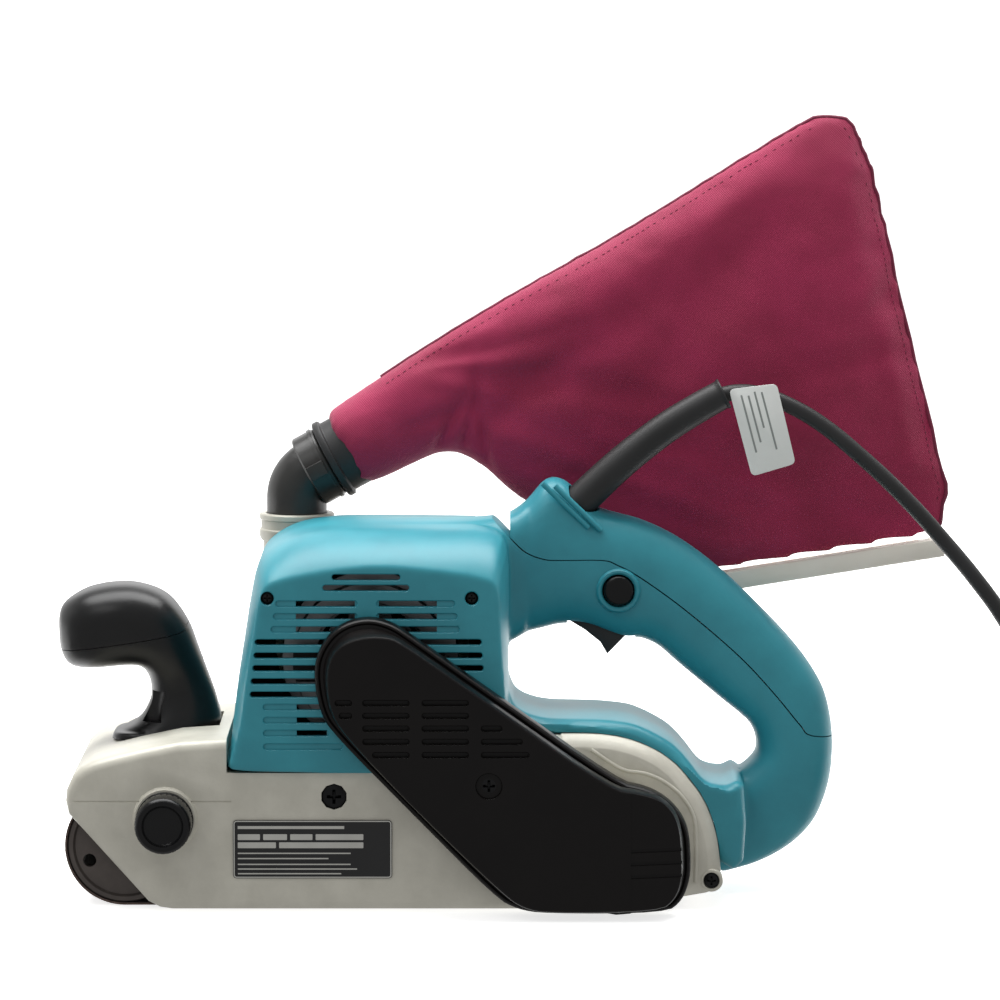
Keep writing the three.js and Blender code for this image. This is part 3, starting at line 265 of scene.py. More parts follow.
finish_of = {name: mat for mat, names in NODE_FINISH for name in names.split()}
for name, obj in nodes.items():
    paint(obj, finish_of.get(name, SCREW))

# ---- camera, light and floor ----
AIM = Vector((0.0582, 0.0, 0.1783))
DISTANCE = 2.6
ELEVATION = math.radians(6.1)


def camera():
    lens = bpy.data.cameras.new("camera")
    lens.lens = 205.0
    lens.sensor_width = 36.0
    lens.clip_end = 50.0
    eye = link(bpy.data.objects.new("camera", lens))
    eye.location = AIM + DISTANCE * Vector((0, -math.cos(ELEVATION), math.sin(ELEVATION)))
    eye.rotation_euler = (math.radians(90) - ELEVATION, 0, 0)
    bpy.context.scene.camera = eye


def area_light(name, place, size, power, target=AIM):
    lamp = bpy.data.lights.new(name, "AREA")
    lamp.shape = "RECTANGLE"
    lamp.size, lamp.size_y = size
    lamp.energy = power
    obj = link(bpy.data.objects.new(name, lamp))
    obj.location = place
    obj.rotation_euler = (target - Vector(place)).to_track_quat("-Z", "Y").to_euler()


def studio():
    world = bpy.data.worlds.new("studio")
    world.use_nodes = True
    world.node_tree.nodes["Background"].inputs["Color"].default_value = (1, 1, 1, 1)
    world.node_tree.nodes["Background"].inputs["Strength"].default_value = 0.46
    bpy.context.scene.world = world
    area_light("key", (-0.9, -1.5, 1.9), (0.8, 0.8), 5)
    area_light("top", (0.0, 0.3, 1.8), (2.4, 1.1), 58)
    area_light("back", (0.2, 1.9, 1.1), (2.4, 1.2), 8)
    white = finish("studio_floor", "#f4f4f3", "#f7f7f6", 0.8, mottle=2, grain=40, bump=0.02)
    glow = white.node_tree.nodes["Principled BSDF"]
    glow.inputs["Emission Color"].default_value = (1, 1, 1, 1)
    glow.inputs["Emission Strength"].default_value = 0.72
    studio_half("floor_back", 0.0, white)
    studio_half("floor_front", math.pi, white).visible_glossy = False


def studio_half(name, start, mat):
    """Half of a round pale floor whose far edge curves up, a hair below the ground plane."""
    reach, bend, high, parts = 14.0, 4.0, 9.0, 24
    profile = [(0.0, 0.0), (reach - bend, 0.0)]
    profile += [(reach - bend + bend * math.sin(a * math.pi / 24),
                 bend - bend * math.cos(a * math.pi / 24)) for a in range(1, 13)]
    profile.append((reach, high))
    verts = []
    for k in range(parts + 1):
        turn = start + math.pi * k / parts
        verts += [(r * math.cos(turn), r * math.sin(turn), z - 0.0002) for r, z in profile]
    half = mesh_object(name, verts, quads(parts + 1, len(profile), wrap=False))
    half.visible_diffuse = False
    paint(half, mat)
    return half


bpy.context.scene.view_settings.view_transform = "Standard"
camera()
studio()

# ---- cord: the listed route, then the coil ----
ROUTE = [
    (86.4, 169.8), (94.4, 178.0), (103.0, 186.4), (113.0, 195.6), (124.0, 204.6), (136.0, 213.4),
    (148.0, 220.8), (157.5, 226.2), (168.0, 228.2), (179.0, 226.4), (190.1, 222.0), (203.8, 214.0),
    (222.1, 199.2), (241.5, 181.0), (261.0, 159.6), (275.7, 142.0), (288.6, 124.0), (299.5, 103.0),
    (308.0, 76.0), (314.0, 50.0), (318.8, 28.3), (322.1, 20.3), (327.3, 13.5), (334.0, 8.3),
    (342.0, 5.2),
]
TURNS = 16
PER_TURN = 24


def coil_points():
    """Layers of turns, a cord's diameter apart, wound in and out from the coil's outer edge."""
    points = []
    half = CORD_D / 2
    columns = [COIL_MID_R + COIL_HALF - half - 0.1 - CORD_D * i for i in range(4)]
    order = []
    for layer in range(4):
        rims = columns if layer % 2 == 0 else columns[::-1]
        order += [(r, half + 0.15 + CORD_D * layer) for r in rims]
    for turn in range(TURNS):
        for step in range(PER_TURN):
            part = step / PER_TURN
            ahead = order[min(turn + 1, TURNS - 1)]
            ease = max(0.0, (part - 0.72) / 0.28)
            ease = ease * ease * (3 - 2 * ease)
            radius = order[turn][0] + (ahead[0] - order[turn][0]) * ease
            height = order[turn][1] + (ahead[1] - order[turn][1]) * ease
            angle = math.pi / 2 - 2 * math.pi * part
            points.append((COIL_AT[0] + radius * math.cos(angle),
                           COIL_AT[1] + radius * math.sin(angle), height))
    x, y, z = COIL_AT[0], COIL_AT[1] + order[-1][0], order[-1][1]
    points += [(x, y, z), (x + 12, y + 1, z - 3), (x + 24, y + 3.0, z - 8.6),
               (x + 34, y + 3.6, z - 12.6)]
    return points


def cord():
    coil = coil_points()
    land = ROUTE[-5][0] - 8
    points = []
    for x, z in ROUTE:
        part = max(0.0, (x - land) / (coil[0][0] - land))
        points.append((x, CORD_Y + (coil[0][1] - CORD_Y) * part * part * (3 - 2 * part), z))
    points += coil
    curve = bpy.data.curves.new("power_cord", "CURVE")
    curve.dimensions = "3D"
    curve.bevel_depth = CORD_D / 2 * MM
    curve.bevel_resolution = 5
    curve.use_fill_caps = True
    curve.resolution_u = 4
    line = curve.splines.new("BEZIER")
    line.bezier_points.add(len(points) - 1)
    for at, knot in zip(points, line.bezier_points):
        knot.co = Vector(at) * MM
        knot.handle_left_type = knot.handle_right_type = "AUTO"
    obj = link(bpy.data.objects.new("power_cord", curve))
    paint(obj, RUBBER)
    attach(obj, "chassis")
    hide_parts("cord", "cord_coil")


# ---- mesh helpers ----
def through(stations, steps):
    """A smooth run of stations that passes through the given ones."""
    knots = np.array(stations, float)
    knots = np.vstack([2 * knots[0] - knots[1], knots, 2 * knots[-1] - knots[-2]])
    made = []
    for a, b, c, d in zip(knots, knots[1:], knots[2:], knots[3:]):
        for k in range(steps):
            t = k / steps
            made.append(0.5 * (2 * b + (c - a) * t + (2 * a - 5 * b + 4 * c - d) * t ** 2
                               + (3 * b - a - 3 * c + d) * t ** 3))
    made.append(knots[-2])
    return [tuple(m) for m in made]


def rounded(outline, rounds=2):
    """A closed outline with its corners cut smaller and smaller, until they are round."""
    points = [np.array(p, float) for p in outline]
    for _ in range(rounds):
        cut_points = []
        for a, b in zip(points, points[1:] + points[:1]):
            cut_points += [a * 0.75 + b * 0.25, a * 0.25 + b * 0.75]
        points = cut_points
    return [tuple(p) for p in points]


def inset(outline, by):
    """The outline moved inwards along its own normals; a negative distance moves it out."""
    area = sum(a[0] * b[1] - b[0] * a[1] for a, b in zip(outline, outline[1:] + outline[:1]))
    sign = 1 if area > 0 else -1
    moved = []
    for before, here, after in zip(outline[-1:] + outline[:-1], outline, outline[1:] + outline[:1]):
        run = Vector((after[0] - before[0], after[1] - before[1])).normalized()
        moved.append((here[0] - run.y * by * sign, here[1] + run.x * by * sign))
    return moved


def loft(name, rings):
    """A closed skin through rings of equal length, in millimetres, with flat ends."""
    count = len(rings[0])
    last = (len(rings) - 1) * count
    ends = [tuple(range(count))[::-1], tuple(range(last, last + count))]
    verts = [Vector(p) * MM for ring in rings for p in ring]
    return tidy(mesh_object(name, verts, quads(len(rings), count) + ends))


def prism(name, outline, y0, y1):
    return loft(name, [[(x, y, z) for x, z in outline] for y in (y0, y1)])


def slab(name, outline, y0, y1, edge, steps=4):
    """An outline carried from y0 to y1 with both rims rounded."""
    rings = []
    for start, way in ((y0, 1), (y1, -1)):
        arc = []
        for i in range(steps + 1):
            turn = math.pi / 2 * i / steps
            level = start + way * edge * (1 - math.sin(turn))
            arc.append([(x, level, z) for x, z in inset(outline, edge * (1 - math.cos(turn)))])
        rings += arc[::-1] if way > 0 else arc
    return loft(name, rings)


def box(name, x, y, z):
    return prism(name, [(x[0], z[0]), (x[1], z[0]), (x[1], z[1]), (x[0], z[1])], y[0], y[1])


ACROSS = (0, 1, 0)


def frame_of(axis):
    """A rotation that takes +Z to the given axis."""
    return Vector((0, 0, 1)).rotation_difference(Vector(axis)).to_matrix()


def spun(radius, level, axis, at, part):
    """A point about an axis through a place, a part of the way round."""
    angle = 2 * math.pi * part
    point = Vector((radius * math.cos(angle), radius * math.sin(angle), level))
    return frame_of(axis) @ point + Vector(at)


def turned(name, profile, axis, at, sides=64):
    """A profile of (radius, distance along the axis) turned about an axis, closed at both ends."""
    return loft(name, [[spun(*row, axis, at, j / sides) for j in range(sides)] for row in profile])


def hoop(name, profile, axis, at, sides=64):
    """A closed profile of (radius, distance) turned about an axis into a ring."""
    verts = [spun(*row, axis, at, j / sides) * MM for j in range(sides) for row in profile]
    return tidy(mesh_object(name, verts, quads(sides, len(profile), wrap_rows=True)))


def drill(at, radius, y0, y1, sides=64):
    """A round cutter across the tool, at a place of the X-Z plane."""
    return turned("hole", [(radius, y0), (radius, y1)], ACROSS, (at[0], 0, at[1]), sides)


def tube(name, path, radii, sides=40):
    """A round skin along points, with a radius at each."""
    rings = []
    up = Vector((0, 1, 0))
    for i, here in enumerate(path):
        before, after = path[max(i - 1, 0)], path[min(i + 1, len(path) - 1)]
        run = (Vector(after) - Vector(before)).normalized()
        side = run.cross(up).normalized()
        other = side.cross(run)
        rings.append([Vector(here) + radii[i] * (math.cos(t) * side + math.sin(t) * other)
                      for t in (2 * math.pi * j / sides for j in range(sides))])
    return loft(name, rings)


def boolean(obj, other, how, keep=False):
    change = obj.modifiers.new("change", "BOOLEAN")
    change.operation = how
    change.solver = "MANIFOLD"
    change.object = other
    settle(obj)
    if not keep:
        bpy.data.objects.remove(other)
    return obj


def cut(obj, *others):
    for other in others:
        boolean(obj, other, "DIFFERENCE")
    return obj


def add(obj, *others):
    for other in others:
        boolean(obj, other, "UNION")
    return obj


def merged(objs):
    """Several separate meshes as one object."""
    work = bmesh.new()
    for obj in objs:
        work.from_mesh(obj.data)
        bpy.data.objects.remove(obj)
    mesh = bpy.data.meshes.new("merged")
    work.to_mesh(mesh)
    work.free()
    return link(bpy.data.objects.new("merged", mesh))


def copied(obj):
    twin = obj.copy()
    twin.data = obj.data.copy()
    return link(twin)


def skin(obj, voxel):
    remesh = obj.modifiers.new("skin", "REMESH")
    remesh.mode = "VOXEL"
    remesh.voxel_size = voxel * MM


def blended(obj, voxel, passes):
    """One skin around everything in the mesh, with its inner corners filled and smoothed."""
    skin(obj, voxel)
    calm = obj.modifiers.new("calm", "SMOOTH")
    calm.factor = 0.5
    calm.iterations = passes
    return settle(obj)


def piece(obj, name, mat, body, slot, *replaced, sharp=38.0):
    """Names, tidies and paints a finished piece, hangs it on its body's empty and hides the CAD
    nodes it replaces.
    """
    obj.name = name
    obj.data.name = name
    tidy(obj, sharp)
    paint(obj, mat)
    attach(obj, body)
    if replaced:
        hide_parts(*replaced)
    return obj


def superellipse(sides, power):
    """A unit circle squared off by its power, as points of (across, up)."""
    turns = [2 * math.pi * (i + 0.5) / sides for i in range(sides)]
    return [tuple(math.copysign(abs(v) ** power, v) for v in (math.cos(t), math.sin(t)))
            for t in turns]


def oval(station, y, sides, power):
    """A superellipse between two points of the X-Z plane, a half width each side of y."""
    x0, z0, x1, z1, half = station
    return [((x0 + x1) / 2 + c * (x0 - x1) / 2, y + s * half, (z0 + z1) / 2 + c * (z0 - z1) / 2)
            for c, s in superellipse(sides, power)]


def oval_bar(name, stations, y, sides, power, steps=4):
    return loft(name, [oval(s, y, sides, power) for s in through(stations, steps)])


# ---- motor housing and handle ----
FACE_EDGE = [
    (-62.6, 66.5), (-57.5, 85.6), (-55, 103.7), (-52, 121.7), (-49.4, 138), (-46.6, 146.2),
    (-41.8, 149.3), (-30.7, 151.8), (-12.9, 154.7), (6.6, 156), (31.5, 153.8), (48.5, 151.1),
    (56.9, 145.7), (58.2, 123.3), (60.4, 98), (61, 80), (61, 64), (-50, 64),
]
BODY_EDGE = [
    (-63.4, 70), (-61.8, 85.6), (-59.5, 103.7), (-56.7, 121.7), (-53.8, 139.8), (-50.4, 154.2),
    (-43.5, 161.6), (-32, 167), (-14, 169.5), (8, 169.7), (31.5, 169.4), (52, 168.2),
    (61.3, 160), (62, 125), (62.2, 98), (62.3, 80), (62.3, 63.4), (-57, 63.4),
]
PARTING = [
    (50, 176), (56.4, 170.2), (63.2, 162.9), (70, 156.5), (78.2, 153.3), (86.3, 152.8),
    (104.9, 152.8), (111.7, 150.6), (121.2, 145.5), (138.5, 133.2), (155.7, 119.1),
    (170.7, 105.4), (184.7, 89.9), (195.2, 77.1), (201.1, 72.1), (225, 70.2),
]
# outer point, inner point, half width
HANDLE = [
    (35, 167, 35, 104, 20), (52, 169.9, 55, 108, 19), (61, 172, 63, 115.8, 18.4),
    (70, 178, 71, 118.3, 18), (78.7, 187.6, 78, 120, 18), (86, 188.2, 84, 121.5, 18),
    (93, 183.2, 91, 122, 18), (101.6, 175.8, 99, 121, 18), (111, 172.6, 107, 118, 18),
    (122.1, 169.6, 115.4, 115.2, 17.8), (135.9, 163.4, 122.3, 115.4, 17.4),
    (149.6, 154.4, 130.5, 111.8, 17.2), (163.4, 142.9, 139.5, 104, 17.2),
    (177.2, 129.5, 149.8, 95.4, 17.2), (191, 114.8, 160, 86.9, 17.2),
    (201, 101.5, 168, 80.5, 17.2), (207.4, 88.5, 172.8, 75.6, 17.4),
    (210.4, 71, 175.4, 68.6, 17.6), (209.7, 53.7, 174.2, 61.4, 18),
    (206.1, 39.8, 165, 53.5, 18), (200.4, 28.9, 150, 44, 18), (190, 19.2, 150, 33, 18),
    (176, 12, 150, 24, 18), (161.5, 8.2, 150, 15, 18),
]
ARCH = [
    (58, 79.1), (58, 97), (62.3, 97), (64.5, 91.5), (69, 88), (76, 85.7), (84, 84.8),
    (101.7, 84.4), (115.5, 83), (122.4, 80.8), (129.3, 77.4), (136.2, 73), (143.1, 65.6),
    (148.5, 58.4), (153, 55.5), (160, 54.5), (168, 54.8), (168, 20), (157, 20), (140, 50),
    (120, 70), (100, 76),
]
GUARD_OUT = [
    (88.2, 78.8), (100, 78.6), (110.6, 77.4), (120.5, 74.6), (129.9, 70.1), (137.4, 64.4),
    (143.4, 57.5), (147.9, 51.5), (151.5, 44.8), (154.6, 36), (156.5, 26.7), (157.5, 13),
    (154.5, 7.5), (140, 4.5),
]
SPLIT_Y = 20.0
LOCK_AT = (112, 138.8)
CREASE = math.radians(32)


def shell_rings(face, body, y0, reach, y1, steps=14):
    """Rings from a crisp face edge, round the shoulder and back to the split."""
    rings = []
    for i in range(steps + 1):
        turn = CREASE + (math.pi / 2 - CREASE) * i / steps
        part = (math.sin(turn) - math.sin(CREASE)) / (1 - math.sin(CREASE))
        y = y0 + reach * (math.cos(CREASE) - math.cos(turn)) / math.cos(CREASE)
        rings.append([(a[0] + (b[0] - a[0]) * part, y, a[1] + (b[1] - a[1]) * part)
                      for a, b in zip(face, body)])
    rings.append([(x, y1, z) for x, z in body])
    return rings


def dense(outline, steps=3):
    """A closed outline with its curved stretches filled in."""
    return through(outline + outline[:1], steps)[:-1]


def flare():
    """The housing's rear end, narrowing into the handle."""
    rings = []
    stations = [(-24, 150, 168.6, -34, 19), (10, 140, 170, -34, 19), (34, 122, 170.3, -30, 19),
                (50, 113, 170.8, -25, 19), (62, 114, 172.4, -20, 18.6),
                (70, 118, 177, -17.8, 17.8)]
    for x, z0, z1, y0, y1 in through(stations, 4):
        rings.append([(x, (y0 + y1) / 2 + c * (y1 - y0) / 2, (z0 + z1) / 2 + s * (z1 - z0) / 2)
                      for c, s in superellipse(48, 0.55)])
    return loft("flare", rings)


def slot_cutter(x0, x1, z, levels, radius, sides):
    """A round-ended slot through levels of (y, extra radius)."""
    rings = []
    for y, grow in levels:
        reach = radius + grow
        ring = []
        for i in range(sides):
            turn = 2 * math.pi * (i + 0.5) / sides
            centre = x1 - radius if math.cos(turn) > 0 else x0 + radius
            ring.append((centre + reach * math.cos(turn), y, z + reach * math.sin(turn)))
        rings.append(ring)
    return loft("slot", rings)


def housing_slots():
    through_wall, dent = 9.0, 1.0
    rows = [(-16.6, 13.8, 151.4, through_wall), (-20.7, 17.8, 146.6, through_wall)]
    for i, z in enumerate((139.5, 133.8, 128)):
        rows += [(-41.6 - i, -5.4, z, dent), (3.3, 38 + i, z, dent)]
    for i, z in enumerate((122.3, 116.3, 110.6)):
        rows += [(-51 - i * 0.5, -17, z, through_wall), (17, 50 + i * 0.4, z, through_wall)]
    rows += [(-52.8 - i * 0.4, -17, z, through_wall) for i, z in enumerate((104.7, 98.8))]
    rows += [(-47.2, -18, z, dent) for z in (93.1, 87.2, 81.4)]
    rows.append((-47.2, -12, 75.3, dent))
    chamfer = [(FACE_Y - 1.0, 1.4), (FACE_Y, 0.42), (FACE_Y + 0.45, 0)]
    return merged([slot_cutter(x0, x1, z, chamfer + [(FACE_Y + deep, 0)], 1.3, 24)
                   for x0, x1, z, deep in rows])


def slot_windows():
    """The open stretches inside the shallow slots."""
    spans = [(z, x) for z in (139.5, 133.8, 128) for x in ((-32.7, -6.4), (4.3, 30.1))]
    spans += [(z, (-32.5, -19)) for z in (93.1, 87.2, 81.4)]
    return merged([box("hole", x, (-80, -60), (z - 1.25, z + 1.25)) for z, x in spans])


def screw_hole(name, radius, deep):
    """A countersunk hole under the head of a screw on the near side."""
    low, high = node_box(name)
    x, y, z = (low.x + high.x) / 2, low.y, (low.z + high.z) / 2
    return turned("hole", [(radius + 1.2, y - 3), (radius + 0.5, y - 1.45), (radius, y - 0.95),
                           (radius, y + deep)], ACROSS, (x, 0, z), 40)


def handle_chamber():
    """The hollows of the handle: trigger room, switch room, lock button hole and cord bore."""
    grip = prism("chamber", [(84, 127), (88.8, 127), (88.8, 106), (120, 106), (120, 123),
                             (136, 121), (136, 150), (108, 166), (92, 174), (81, 168),
                             (78, 158), (80, 130)], -9, 9)
    switch = slab("chamber", [(80, 131), (134, 128), (136, 149), (108, 164), (90, 170),
                              (80, 164)], -13, 13, 2)
    hole = drill(LOCK_AT, 7.3, -22, -8)
    bore = tube("bore", [(80.5, CORD_Y, 163.9), (104, CORD_Y, 187.4)], [8.8, 8.8])
    return [grip, switch, hole, bore]


def teal_whole():
    body = loft("body", shell_rings(dense(FACE_EDGE), dense(BODY_EDGE), FACE_Y, 36, SPLIT_Y))
    arch = slab("arch", dense(ARCH, 2), -54.4, 19.6, 6, 8)
    handle = oval_bar("handle", HANDLE, 0, 48, 0.74)
    return blended(merged([body, flare(), arch, handle]), 1.15, 5)


def teal_pieces():
    whole = teal_whole()
    inner = loft("space", shell_rings(inset(dense(FACE_EDGE), 3.4), inset(dense(BODY_EDGE), 3.2),
                                      FACE_Y + 3, 33, SPLIT_Y + 3))
    cut(inner, box("keep", (52, 80), (-30, 40), (96, 200)),
        box("keep", (-80, 80), (-80, 40), (40, 66.4)))
    guard = [(86, 60), (86, 79.1)] + [(x + 0.35, z + 0.35) for x, z in GUARD_OUT]
    guard += [(140, 0), (86, 0)]
    cut(whole, inner, prism("guard", guard, -90, 60), *handle_chamber())
    upper = prism("upper", through(PARTING, 4) + [(240, 240), (50, 240)], -60, 60)
    cover = boolean(copied(whole), upper, "INTERSECT", keep=True)
    for v in upper.data.vertices:
        v.co += Vector((-0.35, 0, -0.45)) * MM
    cut(whole, upper)
    ridges = [tube("ridge", [(77.5 + 5.6 * i, -16.6 + 0.6 * i, 187.6 - 1.2 * i),
                             (98.5 + 5.6 * i, -16.4, 167.4 - 1.2 * i)], [1.3, 1.3], 20)
              for i in (0, 1)]
    add(cover, *ridges)
    cut(cover, box("trim", (40, 62.8), (-60, 60), (150, 240)))
    collar = hoop("collar", [(7.3, -12), (9.9, -12), (10.4, -17), (9.9, -18.6), (9.2, -19.4),
                             (8.3, -19.4), (7.6, -18.9), (7.3, -18.2)], ACROSS,
                  (LOCK_AT[0], 0, LOCK_AT[1]))
    boss = hoop("boss", [(9.3, -70), (13, -70), (13, -60.4), (9.3, -60.4)], ACROSS,
                (MOTOR[0], 0, MOTOR[1]))
    add(whole, collar, boss)
    cut(whole, box("trim", (-80, 62.8), (-69.3, 60), (40, 63.4)),
        box("trim", (62.5, 90), (-90, 60), (40, 78.4)),
        box("trim", (-90, 90), (-90, 60), (40, 63.4)), drill(MOTOR, 5, -80, -60),
        housing_slots(), slot_windows(),
        screw_hole("housing_screw_front", 3.0, 12), screw_hole("housing_screw_rear", 3.0, 12))
    for name in ("handle_screw_upper", "handle_screw_lower"):
        low, high = node_box(name)
        at = ((low.x + high.x) / 2, (low.z + high.z) / 2)
        for half in (whole, cover):
            cut(half, drill(at, 3.4, 13.4, 24, 32), drill(at, 1.75, 4, 14, 24))
    piece(whole, "motor_housing_shell", TEAL, "chassis", "teal_shell", "motor_housing", sharp=30)
    baffle = prism("baffle", inset(dense(BODY_EDGE), 2.6), SPLIT_Y - 5, SPLIT_Y - 3)
    cut(baffle, drill(MOTOR, 44.6, SPLIT_Y - 9, SPLIT_Y, 72),
        box("keep", (50, 90), (-30, 40), (64, 200)), box("floor", (-90, 90), (-90, 60), (40, 67)))
    piece(baffle, "air_baffle_plate", DARK, "chassis", "dark_plastic", sharp=30)
    piece(cover, "handle_cover_shell", TEAL, "chassis", "teal_shell", "handle_cover", sharp=30)


# ---- belt cover ----
FLANGE = [
    (-24.9, 109.9), (-22, 121), (-14, 130.6), (-1.4, 134.6), (10, 132), (19, 126), (55, 100.5),
    (111.7, 60.3), (121, 58.6), (129.2, 55.4), (137, 49), (142.2, 40), (143.2, 28), (143.1, 17.4),
    (139.5, 7), (132, 1.4), (78.3, 1.2), (66, 3.2), (56.4, 8.3), (20, 45.4), (-15.8, 82), (-22, 92),
]
RAISED = [
    (-18.6, 112.1), (-15.5, 120.5), (-9.4, 125.7), (0, 127.7), (8, 127.4), (14.1, 125.5),
    (60, 93), (107.7, 59.5), (119, 57.8), (129, 55), (135, 49.5), (137.9, 41.6), (138.8, 30),
    (138.8, 19.2), (136, 10.5), (129.1, 4.8), (80, 4), (69, 6), (60, 12), (22, 49), (-11, 84),
    (-17.5, 96),
]


def belt_cover():
    outer, face = rounded(FLANGE), rounded(RAISED)
    top = inset(outer, 2.9)
    slope = [((a[0] * 2 + b[0]) / 3, (a[1] * 2 + b[1]) / 3) for a, b in zip(top, face)]
    levels = [
        (outer, 0, -72.3), (outer, 0, -79.5), (outer, 0.25, -80.6), (outer, 0.9, -81.4),
        (outer, 1.7, -81.7), (outer, 2.2, -81.5), (outer, 2.6, -81.2), (slope, 0.0, -81.6),
        (slope, 0.5, -83), (face, -0.9, -88), (face, -0.4, -92.4), (face, 0, -94.0),
        (face, 0.25, -94.6), (face, 0.7, -94.93), (face, 1.3, -95),
    ]
    body = loft("cover", [[(x, y, z) for x, z in inset(ring, by)] for ring, by, y in levels])
    cavity = prism("cavity", rounded(inset(RAISED, 3.2), 1), -91.5, -60)
    rim = prism("rim", inset(rounded(FLANGE), 3.2), -78.5, -60)
    cut(rim, box("post", (40, 66), (-90, -50), (48, 74)))
    cut(cavity, box("post", (44, 62), (-95, -50), (52, 70)))
    cut(body, cavity, rim, cover_slots(), *cover_grooves())
    x, z = 53.3, 61
    cut(body, turned("seat", [(6.6, -97), (6.0, -95), (5.7, -94.6), (5.6, -93.4)], ACROSS,
                     (x, 0, z)), drill((x, z), 2.6, -95, -50, 32))
    add(body, hoop("seat_rim", [(6.5, -94.6), (7.6, -94.6), (7.3, -95.0), (6.7, -95.0)],
                   ACROSS, (x, 0, z)))
    piece(body, "belt_cover_shell", COVER_BLACK, "chassis", "black_plastic", "belt_cover", sharp=24)


def cover_slots():
    """Rows of shallow vents, each starting and ending further back than the one above."""
    levels = ((COVER_Y - 0.8, 0.9), (COVER_Y, 0.3), (COVER_Y + 0.4, 0), (COVER_Y + 2.4, 0))
    cutters = []
    for z, first, last in ((98.2, -14.6, 44.2), (92.5, -12.8, 44.2), (86.8, -9.1, 59),
                           (80.9, -3.2, 68), (75.0, 1.9, 71)):
        for x0, x1 in ((-16, -7.4), (-2.4, 18), (23.8, 44.2), (50, 71)):
            left, right = max(x0, first), min(x1, last)
            if right - left > 4:
                cutters.append(slot_cutter(left, right, z, levels, 1.15, 20))
    return merged(cutters)


def cover_grooves():
    """Three grip grooves at the rear end, and the edge where the end panel steps back."""
    cutters = [prism("step", [(116.2, -2), (150, -2), (150, 59), (116.2, 59)], COVER_Y - 2,
                     COVER_Y + 0.35)]
    for z in (31.9, 26.1, 20.3):
        outline = [(116.2, z - 0.9), (150, z + 0.6), (150, z + 2.2), (116.2, z + 0.7)]
        cutters.append(prism("groove", outline, COVER_Y - 2, COVER_Y + 1.2))
    return cutters


# ---- rear guard ----
def rear_guard():
    """A cast half-tunnel over the rear roller with a broad round shoulder and a screw ear."""
    outline = [(60, 78.7)] + through(GUARD_OUT, 3) + [(120, 3), (95, 3), (60, 12)]
    levels = ((1.6, 50), (0.4, 49.2), (0, 47), (0, -54.6), (0.2, -55.4), (5.2, -59.7), (5.9, -60))
    whole = loft("guard", [[(x, y, z) for x, z in inset(outline, by)] for by, y in levels])
    cut(whole, box("front", (50, 85.7), (-70, 60), (0, 90)))
    inner = [(140, 8), (152, 11), (153.5, 26.4), (151.8, 35), (148.9, 43.5), (141.2, 55.6),
             (135.4, 61.9), (128.2, 67.4), (119.5, 71.7), (110.2, 74.4), (100, 75.4), (80, 75.6)]
    tunnel = prism("tunnel", inner + [(80, -5), (141, -5)], -56.4, 60)
    ear = slab("ear", [(153.2 + 5.2 * math.cos(t), 12.8 + 5.2 * math.sin(t)) for t in
                       (2 * math.pi * i / 40 for i in range(40))], -60.2, -52, 0.8, 3)
    cut(whole, tunnel)
    ridge = [(x, -60.0, z) for x, z in through(
        [(99, 72.2), (112.7, 63.4), (122.8, 61.5), (131.4, 57.9), (139.8, 50.9), (145.2, 41.2),
         (146.2, 28), (146, 12)], 4)]
    add(whole, ear, tube("ridge", ridge, [0.9] * len(ridge), 12))
    low, high = node_box("rear_screw")
    at = ((low.x + high.x) / 2, 0, (low.z + high.z) / 2)
    cut(whole, drill(REAR_AXLE, 17.2, -70, -40, 96),
        turned("hole", [(4.4, -62), (3.7, -60.1), (3.7, -58.2), (1.35, -58.1), (1.35, -50)],
               ACROSS, at, 40))
    piece(whole, "rear_guard_casting", CASTING, "chassis", "casting", "rear_guard", sharp=40)


# ---- front grip ----
# rear point, front point, half width
GRIP = [
    (-70.6, 70, -118.6, 70, 21), (-69.8, 74.5, -116, 73.4, 20.6), (-69.5, 79.2, -107, 78.6, 19.6),
    (-71, 86, -102.4, 86, 17.6), (-73, 92.4, -101.3, 91, 16.6), (-76, 100.5, -102.1, 97, 17),
    (-79.2, 109.2, -104.2, 100.9, 18.6), (-84.6, 123.1, -107, 102.7, 21),
    (-93.5, 134.8, -112, 102.9, 23), (-105.4, 139.9, -118.1, 102.4, 24),
    (-117, 140.7, -124.6, 101.8, 24), (-129, 138.6, -131, 101.6, 22.4),
    (-137, 134.6, -137, 102.6, 18.6), (-141.6, 130.6, -140.6, 105.6, 13.6),
    (-143.3, 126, -142.7, 110.8, 8),
]
GRIP_SPLIT = [(-150, 109.6), (-91.6, 118.4), (-84, 123), (-70, 133)]
GRIP_SCREW = (-100.8, -14.4)


